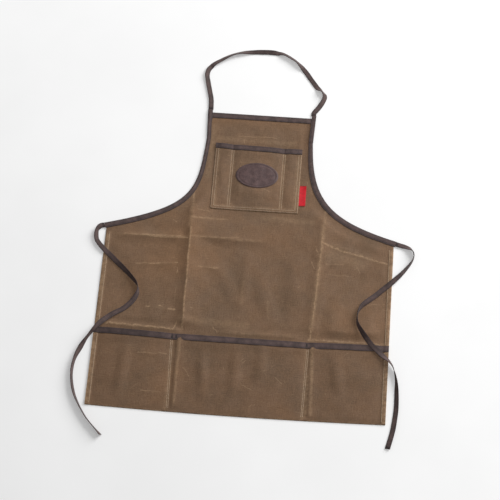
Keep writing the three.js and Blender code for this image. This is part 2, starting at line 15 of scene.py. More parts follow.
import bmesh
import bpy
import numpy as np
from mathutils import Vector
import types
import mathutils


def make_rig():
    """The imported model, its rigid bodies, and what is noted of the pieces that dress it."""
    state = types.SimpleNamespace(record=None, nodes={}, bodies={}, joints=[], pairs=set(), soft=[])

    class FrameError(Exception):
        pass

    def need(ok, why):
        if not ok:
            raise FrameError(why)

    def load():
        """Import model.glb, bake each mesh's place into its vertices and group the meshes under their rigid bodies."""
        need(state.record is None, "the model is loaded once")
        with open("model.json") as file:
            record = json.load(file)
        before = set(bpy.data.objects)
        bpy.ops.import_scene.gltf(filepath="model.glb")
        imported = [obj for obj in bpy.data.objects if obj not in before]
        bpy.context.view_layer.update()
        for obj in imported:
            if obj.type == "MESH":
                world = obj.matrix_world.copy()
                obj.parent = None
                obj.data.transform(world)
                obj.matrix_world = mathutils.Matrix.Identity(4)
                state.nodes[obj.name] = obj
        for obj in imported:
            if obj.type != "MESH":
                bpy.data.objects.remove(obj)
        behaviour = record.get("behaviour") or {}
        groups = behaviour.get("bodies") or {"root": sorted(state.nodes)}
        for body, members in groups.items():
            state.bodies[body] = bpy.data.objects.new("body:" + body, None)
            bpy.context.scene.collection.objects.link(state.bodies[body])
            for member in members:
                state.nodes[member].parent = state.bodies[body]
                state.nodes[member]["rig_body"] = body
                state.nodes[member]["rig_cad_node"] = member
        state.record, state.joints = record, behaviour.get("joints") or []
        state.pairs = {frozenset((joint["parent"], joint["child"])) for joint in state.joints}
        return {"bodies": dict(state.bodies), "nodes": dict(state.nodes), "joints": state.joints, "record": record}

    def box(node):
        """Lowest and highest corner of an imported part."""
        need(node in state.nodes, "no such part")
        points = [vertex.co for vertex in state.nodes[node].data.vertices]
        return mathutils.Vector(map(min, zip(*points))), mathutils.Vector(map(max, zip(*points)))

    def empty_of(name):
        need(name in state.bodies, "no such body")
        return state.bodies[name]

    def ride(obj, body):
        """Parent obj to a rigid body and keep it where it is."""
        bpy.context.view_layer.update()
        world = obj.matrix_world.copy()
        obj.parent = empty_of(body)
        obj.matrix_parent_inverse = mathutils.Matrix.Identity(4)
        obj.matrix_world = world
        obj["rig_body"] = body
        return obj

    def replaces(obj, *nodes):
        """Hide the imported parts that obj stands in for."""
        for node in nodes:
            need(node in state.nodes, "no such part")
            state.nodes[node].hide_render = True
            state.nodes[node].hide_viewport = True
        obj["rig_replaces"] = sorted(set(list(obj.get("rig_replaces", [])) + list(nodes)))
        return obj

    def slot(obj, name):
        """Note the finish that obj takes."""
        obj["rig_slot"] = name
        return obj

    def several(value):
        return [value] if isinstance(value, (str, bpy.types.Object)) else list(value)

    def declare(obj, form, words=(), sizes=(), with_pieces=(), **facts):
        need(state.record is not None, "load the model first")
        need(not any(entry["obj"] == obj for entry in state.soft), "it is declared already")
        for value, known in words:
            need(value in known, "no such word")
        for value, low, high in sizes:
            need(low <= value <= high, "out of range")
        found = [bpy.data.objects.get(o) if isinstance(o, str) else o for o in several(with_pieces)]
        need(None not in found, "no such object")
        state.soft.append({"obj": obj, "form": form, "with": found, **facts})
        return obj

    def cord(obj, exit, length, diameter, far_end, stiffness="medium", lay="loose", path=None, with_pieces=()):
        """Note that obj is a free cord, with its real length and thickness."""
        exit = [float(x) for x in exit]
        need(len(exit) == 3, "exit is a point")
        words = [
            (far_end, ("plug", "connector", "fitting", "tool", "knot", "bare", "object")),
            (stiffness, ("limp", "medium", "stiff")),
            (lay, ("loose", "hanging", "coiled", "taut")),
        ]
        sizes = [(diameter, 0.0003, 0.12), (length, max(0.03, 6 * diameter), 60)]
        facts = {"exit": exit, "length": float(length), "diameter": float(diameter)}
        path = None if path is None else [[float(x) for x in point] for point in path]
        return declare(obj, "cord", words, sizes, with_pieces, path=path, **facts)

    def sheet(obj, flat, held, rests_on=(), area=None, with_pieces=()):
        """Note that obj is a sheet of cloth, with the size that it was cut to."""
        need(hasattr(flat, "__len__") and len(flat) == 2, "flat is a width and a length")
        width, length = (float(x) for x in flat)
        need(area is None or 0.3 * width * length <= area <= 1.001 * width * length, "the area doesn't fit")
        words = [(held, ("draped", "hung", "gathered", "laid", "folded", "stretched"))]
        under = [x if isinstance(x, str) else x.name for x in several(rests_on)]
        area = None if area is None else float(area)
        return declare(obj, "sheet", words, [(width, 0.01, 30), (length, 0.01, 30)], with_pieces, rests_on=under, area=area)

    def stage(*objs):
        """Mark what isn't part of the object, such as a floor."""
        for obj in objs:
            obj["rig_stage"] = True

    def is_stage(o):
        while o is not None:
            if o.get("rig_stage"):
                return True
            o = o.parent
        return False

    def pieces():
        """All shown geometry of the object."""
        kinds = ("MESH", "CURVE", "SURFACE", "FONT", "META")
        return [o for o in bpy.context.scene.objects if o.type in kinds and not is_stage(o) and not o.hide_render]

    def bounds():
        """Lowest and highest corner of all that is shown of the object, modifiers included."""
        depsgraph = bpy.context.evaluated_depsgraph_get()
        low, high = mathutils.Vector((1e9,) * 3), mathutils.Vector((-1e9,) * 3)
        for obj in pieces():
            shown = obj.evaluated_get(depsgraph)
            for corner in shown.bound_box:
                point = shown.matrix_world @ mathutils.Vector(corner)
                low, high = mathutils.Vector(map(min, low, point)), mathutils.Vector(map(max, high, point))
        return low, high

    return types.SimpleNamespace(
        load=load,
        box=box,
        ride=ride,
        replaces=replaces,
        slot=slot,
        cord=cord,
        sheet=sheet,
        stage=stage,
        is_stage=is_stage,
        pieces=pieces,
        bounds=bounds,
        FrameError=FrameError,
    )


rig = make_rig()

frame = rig.load()
CAD_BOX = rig.bounds()

LOG = logging.getLogger("apron")
Array = np.ndarray
Piece = bpy.types.Object
Material = bpy.types.Material
Socket = bpy.types.NodeSocket
Input = Socket | float | Sequence[float]
Colour = tuple[float, float, float, float]
Marks = dict[str, Array]
Height = Callable[[Array, Array], Array]
Row = tuple[Array, Array]

ROOT = "root"
SIZE_FILE = "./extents.json"
BIB_TOP_Y = 0.8287
HEM_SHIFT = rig.box("apron_body")[1].y - BIB_TOP_Y

CLOTH = 0.0012
TAPE = 0.0010
TAPE_WIDTH = 0.0127
GAP = 0.0003
EDGE_LIFT = TAPE + GAP
SHARP_ANGLE = math.radians(50)
ROUTE_SAMPLES = 12
STITCH_ROW_STEP = 0.0015
MOUTH_LIFT_REACH = (0.018, 0.040)


class Slot(Enum):
    """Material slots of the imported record."""

    CANVAS = "canvas"
    TAPE = "tape"
    LEATHER = "leather"
    TAG = "tag"


class Side(Enum):
    """Sides of the apron, seen from the front."""

    LEFT = -1
    RIGHT = 1


# Curves and meshes


def smoothstep(value: Array, low: float, high: float) -> Array:
    """Ease from 0 at low to 1 at high."""
    share = np.clip((value - low) / (high - low), 0.0, 1.0)
    return share * share * (3.0 - 2.0 * share)


def along_segment(
    x: Array, y: Array, start: Sequence[float], end: Sequence[float]
) -> tuple[Array, Array, float]:
    """Measure places against a straight line.

    Args:
        x: places across the apron.
        y: places up the apron.
        start: the line's first end.
        end: the line's other end.

    Returns:
        The run along the line, the signed distance beside it and the line's length.
    """
    dx, dy = end[0] - start[0], end[1] - start[1]
    length = math.hypot(dx, dy)
    run = ((x - start[0]) * dx + (y - start[1]) * dy) / length
    beside = ((x - start[0]) * dy - (y - start[1]) * dx) / length
    return run, beside, length


def resample(rows: Array, step: float) -> Array:
    """Spread rows of (x, y, z, ...) evenly by length.

    Args:
        rows: points of a line, with any further columns.
        step: wanted distance between samples.

    Returns:
        The evenly spaced rows, ends included.
    """
    gaps = np.linalg.norm(np.diff(rows[:, :3], axis=0), axis=1)
    reach = np.concatenate([[0.0], np.cumsum(gaps)])
    count = max(2, round(reach[-1] / step) + 1)
    wanted = np.linspace(0.0, reach[-1], count)
    return np.stack([np.interp(wanted, reach, column) for column in rows.T], axis=1)


def smooth_route(rows: Array, step: float) -> Array:
    """Run a centripetal curve through the rows of a route.

    Args:
        rows: points of the route, with any further columns.
        step: wanted distance between samples.

    Returns:
        Rows spread evenly along the curve.
    """
    padded = np.vstack([2 * rows[0] - rows[1], rows, 2 * rows[-1] - rows[-2]])
    knots = np.linalg.norm(np.diff(padded[:, :3], axis=0), axis=1) ** 0.5
    share = np.linspace(0.0, 1.0, ROUTE_SAMPLES, endpoint=False)[:, None]
    square, cube = share**2, share**3
    fine = []
    for i in range(len(rows) - 1):
        before, here, there, after = padded[i : i + 4]
        d0, d1, d2 = knots[i : i + 3]
        leave = ((here - before) / d0 - (there - before) / (d0 + d1) + (there - here) / d1) * d1
        arrive = ((there - here) / d1 - (after - here) / (d1 + d2) + (after - there) / d2) * d1
        start = (2 * cube - 3 * square + 1) * here + (cube - 2 * square + share) * leave
        fine.append(start + (3 * square - 2 * cube) * there + (cube - square) * arrive)
    return resample(np.vstack([*fine, rows[-1:]]), step)


def make_piece(name: str, points: Array, faces: list[list[int]], marks: Marks) -> Piece:
    """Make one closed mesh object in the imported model's frame.

    Args:
        name: the piece's name.
        points: its corners, measured from the hem.
        faces: its faces.
        marks: a value at each corner, for the finish to read.

    Returns:
        The new object, linked to the scene.
    """
    mesh = bpy.data.meshes.new(name)
    mesh.from_pydata((points + (0.0, HEM_SHIFT, 0.0)).tolist(), [], faces)
    form = bmesh.new()
    form.from_mesh(mesh)
    if form.calc_volume(signed=True) < 0:
        bmesh.ops.reverse_faces(form, faces=form.faces)
        form.to_mesh(mesh)
    form.free()
    for mark, values in marks.items():
        layer = mesh.attributes.new(mark, "FLOAT", "POINT")
        layer.data.foreach_set("value", np.ascontiguousarray(values, np.float32))
    mesh.shade_smooth()
    mesh.set_sharp_from_angle(angle=SHARP_ANGLE)
    piece = bpy.data.objects.new(name, mesh)
    bpy.context.scene.collection.objects.link(piece)
    return piece


def closed_sheet(name: str, top: Array, bottom: Array, marks: Marks) -> Piece:
    """Close a sheet between two grids of points.

    Args:
        name: the piece's name.
        top: rows of points on the face side.
        bottom: the same rows on the back.
        marks: a value at each grid point.

    Returns:
        The new object.
    """
    index = np.arange(top.shape[0] * top.shape[1]).reshape(top.shape[:2])
    over = np.stack([index[:-1, :-1], index[:-1, 1:], index[1:, 1:], index[1:, :-1]], axis=-1).reshape(-1, 4)
    under = over[:, ::-1] + index.size
    border = np.concatenate([index[0, :-1], index[:-1, -1], index[-1, :0:-1], index[:0:-1, 0]])
    after = np.roll(border, -1)
    walls = np.stack([border + index.size, after + index.size, after, border], axis=-1)
    points = np.concatenate([top.reshape(-1, 3), bottom.reshape(-1, 3)])
    both = {mark: np.tile(values.ravel(), 2) for mark, values in marks.items()}
    return make_piece(name, points, np.concatenate([over, under, walls]).tolist(), both)


def swept(name: str, rings: Array, ring_marks: Marks, station_marks: Marks) -> Piece:
    """Join rings of points into a closed length of tape or ribbon.

    Args:
        name: the piece's name.
        rings: one ring of points for each station.
        ring_marks: values that go round each ring.
        station_marks: values that go from station to station.

    Returns:
        The new object.
    """
    count, sides = rings.shape[:2]
    index = np.arange(count * sides).reshape(count, sides)
    near, far = index[:-1], index[1:]
    quads = np.stack([near, np.roll(near, -1, 1), np.roll(far, -1, 1), far], axis=-1).reshape(-1, 4)
    faces = quads.tolist() + [index[0, ::-1].tolist(), index[-1].tolist()]
    marks = {mark: np.tile(values, count) for mark, values in ring_marks.items()}
    marks |= {mark: np.repeat(values, sides) for mark, values in station_marks.items()}
    return make_piece(name, rings.reshape(-1, 3), faces, marks)


def dress(piece: Piece, finish: Material, slot: Slot, *nodes: str) -> Piece:
    """Give a piece its finish, its slot and the solids that it stands for.

    Args:
        piece: the new object.
        finish: its material.
        slot: the record's slot.
        nodes: names of the solids that it replaces.

    Returns:
        The same object.
    """
    piece.data.materials.append(finish)
    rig.ride(piece, ROOT)
    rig.slot(piece, slot.value)
    if nodes:
        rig.replaces(piece, *nodes)
    LOG.info("%s: %d faces", piece.name, len(piece.data.polygons))
    return piece


# Relief of the cloth


@dataclass(frozen=True)
class Crease:
    """A ridge that folding has pressed into the cloth, from (ax, ay) to (bx, by).

    Its slope reaches lee times as far on the left of that way as on the right, and worn says how far its
    crest has been rubbed.
    """

    ax: float
    ay: float
    bx: float
    by: float
    height: float
    reach: float
    fade: float
    lee: float = 1.0
    sharpness: float = 1.5
    worn: float = 1.0

    CREST_ROUND = 0.0007
    WANDER = 0.0006
    WANDER_LENGTHS = (0.115, 0.043)
    WANDER_PHASE = 60
    RUB_WIDTH = 0.0022
    FULL_RUB_HEIGHT = 0.004

    def offsets(self, x: Array, y: Array) -> tuple[Array, Array]:
        """Give the distance from the wandering crest and the fade towards the crease's ends."""
        run, beside, length = along_segment(x, y, (self.ax, self.ay), (self.bx, self.by))
        turns = [2 * math.pi * run / wave + self.WANDER_PHASE * self.ay for wave in self.WANDER_LENGTHS]
        wander = self.WANDER * (np.sin(turns[0]) + 0.5 * np.sin(turns[1]))
        ends = smoothstep(run, 0.0, self.fade) * smoothstep(length - run, 0.0, self.fade)
        return beside + wander, ends

    def rise(self, x: Array, y: Array) -> Array:
        """Give the ridge's height at each place."""
        beside, ends = self.offsets(x, y)
        away = np.hypot(beside, self.CREST_ROUND) - self.CREST_ROUND
        reach = np.where(beside < 0.0, self.lee, 1.0) * self.reach
        return self.height * ends * np.clip(1 - away / reach, 0, 1) ** self.sharpness

    def rub(self, x: Array, y: Array) -> Array:
        """Give how far the crest has been rubbed pale at each place."""
        beside, ends = self.offsets(x, y)
        most = min(self.height / self.FULL_RUB_HEIGHT, 1.0)
        return self.worn * most * ends * np.exp(-((beside / self.RUB_WIDTH) ** 2))


@dataclass(frozen=True)
class Roll:
    """A soft swell in slack cloth, from (ax, ay) to (bx, by), highest halfway."""

    ax: float
    ay: float
    bx: float
    by: float
    height: float
    reach: float

    def rise(self, x: Array, y: Array) -> Array:
        """Give the swell's height at each place."""
        run, beside, length = along_segment(x, y, (self.ax, self.ay), (self.bx, self.by))
        share = np.clip(np.abs(beside) / self.reach, 0.0, 1.0)
        ends = np.clip((run + self.reach) / (length + 2 * self.reach), 0.0, 1.0)
        return self.height * np.sin(math.pi * ends) * (0.5 + 0.5 * np.cos(math.pi * share))


@dataclass(frozen=True)
class Ripple:
    """Seeded low waves all over a cloth, between nothing and depth."""

    seed: int
    depth: float
    shortest: float
    longest: float
    waves: int = 18

    def rise(self, x: Array, y: Array) -> Array:
        """Give the waves' height at each place."""
        draw = np.random.default_rng(self.seed)
        total = np.zeros_like(x)
        for _ in range(self.waves):
            length = draw.uniform(self.shortest, self.longest)
            turn, phase = draw.uniform(0.0, 2 * math.pi, 2)
            total += np.sin(2 * math.pi * (x * math.cos(turn) + y * math.sin(turn)) / length + phase)
        return self.depth * (0.5 + 0.5 * np.tanh(total / math.sqrt(self.waves)))


@dataclass(frozen=True)
class Relief:
    """All the ridges, swells and waves of one cloth."""

    creases: tuple[Crease, ...]
    rolls: tuple[Roll, ...]
    ripples: tuple[Ripple, ...]

    def rise(self, x: Array, y: Array) -> Array:
        """Give the relief's height at each place."""
        ridge = np.max([crease.rise(x, y) for crease in self.creases], axis=0)
        slack = sum(form.rise(x, y) for form in (*self.rolls, *self.ripples))
        return np.maximum(ridge + slack, 0.0)

    def rub(self, x: Array, y: Array) -> Array:
        """Give how far the crests are rubbed at each place."""
        return np.max([crease.rub(x, y) for crease in self.creases], axis=0)


# Columns: ax, ay, bx, by, height, reach, fade, and for some lee, sharpness and worn
BODY_CREASES = (
    # Long folds down the left and the right
    Crease(-0.1487, 0.620, -0.1437, 0.210, 0.0062, 0.034, 0.030, 2.2, 2.0),
    Crease(0.1845, 0.600, 0.1665, 0.210, 0.0026, 0.026, 0.030, 1.0, 1.4),
    # First fold across, in three lengths
    Crease(-0.338, 0.4615, -0.140, 0.4625, 0.0040, 0.024, 0.040),
    Crease(-0.170, 0.467, 0.060, 0.463, 0.0032, 0.024, 0.060),
    Crease(0.165, 0.478, 0.346, 0.428, 0.0012, 0.018, 0.040),
    # Second and third folds across
    Crease(-0.272, 0.382, -0.160, 0.389, 0.0018, 0.024, 0.040),
    Crease(-0.140, 0.383, -0.050, 0.384, 0.0016, 0.024, 0.040),
    Crease(-0.246, 0.267, -0.160, 0.262, 0.0010, 0.020, 0.030),
    # Fold across the bib
    Crease(-0.080, 0.764, 0.070, 0.766, 0.0008, 0.016, 0.045),
    # Ridges above the lower pocket's mouth
    Crease(-0.340, 0.2165, -0.140, 0.2105, 0.0020, 0.016, 0.020),
    Crease(-0.070, 0.212, 0.150, 0.212, 0.0018, 0.014, 0.040),
    Crease(0.160, 0.2065, 0.344, 0.2075, 0.0008, 0.012, 0.020),
    # Steps down to that mouth, not rubbed
    Crease(-0.330, 0.238, -0.190, 0.234, 0.0018, 0.018, 0.040, 4.0, 1.3, 0.0),
    Crease(0.180, 0.231, 0.342, 0.233, 0.0042, 0.020, 0.040, 4.0, 1.3, 0.0),
)
# Columns: ax, ay, bx, by, height, reach
BODY_ROLLS = (
    Roll(-0.145, 0.486, 0.090, 0.492, 0.0034, 0.050),
    Roll(-0.062, 0.368, -0.022, 0.290, 0.0024, 0.030),
    Roll(0.036, 0.352, 0.070, 0.250, 0.0022, 0.030),
    Roll(-0.002, 0.420, -0.006, 0.280, 0.0016, 0.020),
    Roll(0.110, 0.420, 0.120, 0.300, 0.0020, 0.036),
    Roll(-0.240, 0.340, -0.215, 0.250, 0.0016, 0.034),
    Roll(0.110, 0.800, 0.118, 0.700, 0.0014, 0.018),
    Roll(0.060, 0.520, 0.150, 0.560, 0.0018, 0.040),
    Roll(-0.147, 0.520, -0.143, 0.280, 0.0030, 0.110),
    Roll(0.182, 0.500, 0.172, 0.280, 0.0030, 0.110),
    Roll(0.225, 0.499, 0.335, 0.464, 0.0024, 0.032),
    Roll(0.195, 0.438, 0.310, 0.402, 0.0016, 0.036),
)
POCKET_CREASES = (
    # The long folds, pressed through the pocket
    Crease(-0.149, 0.196, -0.147, 0.002, 0.0022, 0.014, 0.016, 1.6),
    Crease(0.171, 0.196, 0.166, 0.002, 0.0024, 0.014, 0.016, 1.8),
    # Short marks on the left compartment
    Crease(-0.244, 0.142, -0.180, 0.143, 0.0006, 0.012, 0.020),
    Crease(-0.228, 0.043, -0.184, 0.043, 0.0006, 0.012, 0.020),
)
POCKET_ROLLS = (
    Roll(-0.271, 0.160, -0.281, 0.035, 0.0030, 0.022),
    Roll(-0.089, 0.150, -0.081, 0.045, 0.0026, 0.020),
    Roll(-0.006, 0.165, -0.010, 0.060, 0.0024, 0.022),
    Roll(0.054, 0.175, 0.050, 0.095, 0.0022, 0.022),
    Roll(0.228, 0.165, 0.240, 0.075, 0.0024, 0.024),
)
CHEST_CREASES = (Crease(-0.040, 0.640, -0.034, 0.580, 0.0008, 0.012, 0.020),)
CHEST_ROLLS = (
    Roll(-0.020, 0.600, 0.050, 0.596, 0.0012, 0.022),
    Roll(-0.085, 0.690, -0.082, 0.610, 0.0008, 0.014),
)


# Finishes


class Bench:
    """Makes and joins the nodes of one shader."""

    def __init__(self, tree: bpy.types.NodeTree) -> None:
        """Start on an empty tree."""
        self.tree = tree
        self.tree.nodes.clear()

    def node(self, kind: str, inputs: dict[str | int, Input], **settings: object) -> bpy.types.Node:
        """Add a node.

        Args:
            kind: Blender's name for the node.
            inputs: a value or another node's socket for each input, by name or number.
            settings: the node's own options.

        Returns:
            The new node.
        """
        made = self.tree.nodes.new(kind)
        for option, value in settings.items():
            setattr(made, option, value)
        for key, value in inputs.items():
            if isinstance(value, Socket):
                self.tree.links.new(value, made.inputs[key])
            else:
                made.inputs[key].default_value = value
        return made

    def place(self) -> Socket:
        """Give the surface's place in metres, looked at straight down."""
        found = self.node("ShaderNodeTexCoord", {}).outputs["Object"]
        return self.vector("MULTIPLY", found, (1.0, 1.0, 0.0))

    def mark(self, name: str) -> Socket:
        """Give a value that the mesh carries at its corners."""
        return self.node("ShaderNodeAttribute", {}, attribute_name=name).outputs["Fac"]

    def vector(self, operation: str, first: Input, second: Input, result: str = "Vector") -> Socket:
        """Work on two vectors, for a vector or for a single value."""
        return self.node("ShaderNodeVectorMath", {0: first, 1: second}, operation=operation).outputs[result]

    def number(self, operation: str, first: Input, second: Input = 0.0) -> Socket:
        """Work on two numbers."""
        return self.node("ShaderNodeMath", {0: first, 1: second}, operation=operation).outputs[0]

    def noise(self, place: Socket, scale: float, detail: float = 3.0, rough: float = 0.55) -> Socket:
        """Give a cloudy value from 0 to 1, with the scale in clouds per metre."""
        inputs = {"Vector": place, "Scale": scale, "Detail": detail, "Roughness": rough}
        return self.node("ShaderNodeTexNoise", inputs).outputs[0]

    def stretch(
        self, value: Input, low: Input, high: Input, least: Input = 0.0, most: Input = 1.0
    ) -> Socket:
        """Map low to least and high to most, eased and held at both ends."""
        inputs = {0: value, 1: low, 2: high, 3: least, 4: most}
        return self.node("ShaderNodeMapRange", inputs, interpolation_type="SMOOTHSTEP").outputs[0]

    def wave(self, value: Socket, pitch: float) -> Socket:
        """Give a sine along a length, with its pitch in the same unit."""
        return self.number("SINE", self.number("MULTIPLY", value, 2 * math.pi / pitch))

    def mix(self, share: Input, first: Input, second: Input, blend: str = "MIX") -> Socket:
        """Mix two colours."""
        inputs = {0: share, 6: first, 7: second}
        return self.node("ShaderNodeMix", inputs, data_type="RGBA", blend_type=blend).outputs[2]

    def bump(self, height: Socket, depth: float, strength: float, normal: Socket | None = None) -> Socket:
        """Raise the surface by a height from 0 to 1 times a depth in metres."""
        inputs = {"Height": height, "Distance": depth, "Strength": strength}
        if normal is not None:
            inputs["Normal"] = normal
        return self.node("ShaderNodeBump", inputs).outputs[0]

    def surface(self, inputs: dict[str, Input]) -> None:
        """End the shader in one surface."""
        shader = self.node("ShaderNodeBsdfPrincipled", inputs)
        self.node("ShaderNodeOutputMaterial", {"Surface": shader.outputs[0]})


def new_material(name: str) -> tuple[Material, Bench]:
    """Start a material and the bench for its nodes."""
    material = bpy.data.materials.new(name)
    material.use_nodes = True
    return material, Bench(material.node_tree)


@dataclass(frozen=True)
class ScuffAndHighlight:
    """A pale line or soft band from (ax, ay) to (bx, by): thin lines are wax cracked on the folds, and some broad
    bands are painted highlight where the cloth faces the light.
    """

    ax: float
    ay: float
    bx: float
    by: float
    half_width: float
    strength: float


# Columns: ax, ay, bx, by, half_width, strength
BODY_SCUFFS_AND_HIGHLIGHTS = tuple(ScuffAndHighlight(*row) for row in (
    (-0.149, 0.519, -0.100, 0.520, 0.0045, 0.40),
    (-0.100, 0.520, -0.059, 0.521, 0.0040, 0.28),
    (-0.133, 0.543, -0.104, 0.539, 0.0030, 0.28),
    (-0.291, 0.4600, -0.247, 0.4590, 0.0032, 0.42),
    (-0.247, 0.4590, -0.152, 0.4595, 0.0032, 0.65),
    (-0.144, 0.464, -0.028, 0.469, 0.0040, 0.22),
    (-0.191, 0.511, -0.183, 0.505, 0.0022, 0.45),
    (-0.049, 0.765, 0.047, 0.765, 0.0018, 0.42),
    (-0.036, 0.756, -0.034, 0.745, 0.0024, 0.42),
    (0.180, 0.4725, 0.206, 0.4610, 0.0050, 0.60),
    (0.206, 0.4610, 0.2415, 0.4500, 0.0050, 0.62),
    (0.2415, 0.4500, 0.281, 0.4415, 0.0048, 0.58),
    (0.281, 0.4415, 0.311, 0.4315, 0.0044, 0.58),
    (0.311, 0.4315, 0.340, 0.4265, 0.0040, 0.54),
    (-0.273, 0.382, -0.238, 0.384, 0.0026, 0.35),
    (-0.238, 0.384, -0.213, 0.386, 0.0026, 0.55),
    (-0.176, 0.390, -0.171, 0.390, 0.0030, 0.60),
    (-0.170, 0.376, -0.1695, 0.362, 0.0022, 0.55),
    (-0.169, 0.330, -0.168, 0.285, 0.0022, 0.18),
    (-0.120, 0.3835, -0.082, 0.3825, 0.0026, 0.35),
    (-0.082, 0.3825, -0.069, 0.383, 0.0028, 0.60),
    (-0.236, 0.266, -0.228, 0.266, 0.0030, 0.60),
    (-0.205, 0.269, -0.197, 0.268, 0.0032, 0.65),
    (-0.181, 0.264, -0.166, 0.262, 0.0040, 0.70),
    (-0.127, 0.270, -0.123, 0.269, 0.0028, 0.45),
    (-0.070, 0.222, -0.060, 0.212, 0.0020, 0.55),
    (-0.340, 0.2160, -0.245, 0.2138, 0.0050, 0.60),
    (-0.245, 0.2138, -0.166, 0.2098, 0.0045, 0.62),
    (0.163, 0.2065, 0.260, 0.2070, 0.0050, 0.50),
    (0.260, 0.2070, 0.342, 0.2080, 0.0045, 0.48),
    # Broad bands along the right fold: painted highlight on its lit side
    (0.1808, 0.520, 0.1760, 0.415, 0.0095, 0.30),
    (0.1760, 0.415, 0.1677, 0.235, 0.0095, 0.30),
    (0.1796, 0.495, 0.1765, 0.425, 0.0036, 0.55),
    (0.1765, 0.425, 0.1690, 0.262, 0.0036, 0.62),
    (0.164, 0.459, 0.172, 0.437, 0.0022, 0.40),
    (0.155, 0.418, 0.1635, 0.399, 0.0022, 0.40),
    (0.263, 0.424, 0.275, 0.397, 0.0018, 0.45),
    (0.192, 0.412, 0.234, 0.416, 0.0030, 0.30),
    # Broad faint band below the first fold on the right: painted light where the cloth faces the lamp
    (0.205, 0.436, 0.275, 0.420, 0.0300, 0.16),
    (0.199, 0.385, 0.260, 0.384, 0.0018, 0.28),
    (-0.006, 0.352, -0.006, 0.288, 0.0070, 0.12),
    (0.057, 0.300, 0.061, 0.253, 0.0050, 0.16),
    (0.299, 0.311, 0.340, 0.315, 0.0016, 0.30),
    (-0.146, 0.236, -0.142, 0.212, 0.0028, 0.60),
    (-0.158, 0.232, -0.166, 0.210, 0.0024, 0.55),
    (0.166, 0.236, 0.166, 0.208, 0.0028, 0.60),
    (0.030, 0.533, 0.150, 0.527, 0.0120, 0.20),
    (0.205, 0.550, 0.279, 0.508, 0.0140, 0.20),
    (-0.150, 0.238, 0.010, 0.232, 0.0160, 0.18),
    (-0.112, 0.790, -0.119, 0.640, 0.0120, 0.20),
    # Broad band just above the chest pocket's binding: painted light on the cloth there
    (-0.100, 0.755, 0.095, 0.752, 0.0120, 0.18),
))
POCKET_SCUFFS = tuple(ScuffAndHighlight(*row) for row in (
    (-0.242, 0.141, -0.199, 0.142, 0.0024, 0.36),
    (-0.192, 0.143, -0.175, 0.143, 0.0024, 0.36),
    (-0.227, 0.042, -0.205, 0.043, 0.0024, 0.40),
    (-0.205, 0.043, -0.180, 0.042, 0.0020, 0.18),
    (-0.133, 0.109, -0.116, 0.090, 0.0014, 0.40),
    (0.011, 0.077, 0.037, 0.062, 0.0014, 0.35),
    (0.089, 0.100, 0.105, 0.084, 0.0014, 0.35),
    (-0.145, 0.180, -0.146, 0.020, 0.0050, 0.30),
    (0.171, 0.182, 0.175, 0.100, 0.0070, 0.42),
    (0.175, 0.100, 0.178, 0.010, 0.0070, 0.28),
))
CHEST_SCUFFS = tuple(ScuffAndHighlight(*row) for row in (
    (-0.060, 0.660, -0.056, 0.656, 0.0016, 0.50),
    (0.020, 0.612, 0.044, 0.606, 0.0016, 0.30),
    (0.1097, 0.7100, 0.1096, 0.5680, 0.0080, 0.25),
    (0.0709, 0.7160, 0.0690, 0.5700, 0.0060, 0.22),
    (-0.0585, 0.7210, -0.0594, 0.5670, 0.0060, 0.15),
))


def scuff_and_highlight_group() -> bpy.types.NodeTree:
    """Make the group that draws one pale line over those before it, scuffs and painted highlights alike.

    Returns:
        The group, with the place, the line and the mark so far as inputs.
    """
    tree = bpy.data.node_groups.new("scuff", "ShaderNodeTree")
    bench = Bench(tree)
    for name in ("Place", "Start", "Run"):
        tree.interface.new_socket(name=name, in_out="INPUT", socket_type="NodeSocketVector")
    for name in ("Half Width", "Strength", "So Far"):
        tree.interface.new_socket(name=name, in_out="INPUT", socket_type="NodeSocketFloat")
    tree.interface.new_socket(name="Mark", in_out="OUTPUT", socket_type="NodeSocketFloat")
    given = bench.node("NodeGroupInput", {}).outputs
    offset = bench.vector("SUBTRACT", given["Place"], given["Start"])
    run = given["Run"]
    dots = [bench.vector("DOT_PRODUCT", one, run, "Value") for one in (offset, run)]
    share = bench.node("ShaderNodeClamp", {0: bench.number("DIVIDE", *dots)}).outputs[0]
    scaled = bench.node("ShaderNodeVectorMath", {0: run, "Scale": share}, operation="SCALE").outputs[0]
    away = bench.vector("DISTANCE", offset, scaled, "Value")
    line = bench.stretch(away, 0.0, given["Half Width"], given["Strength"], 0.0)
    mark = bench.number("MAXIMUM", line, given["So Far"])
    bench.node("NodeGroupOutput", {"Mark": mark})
    return tree


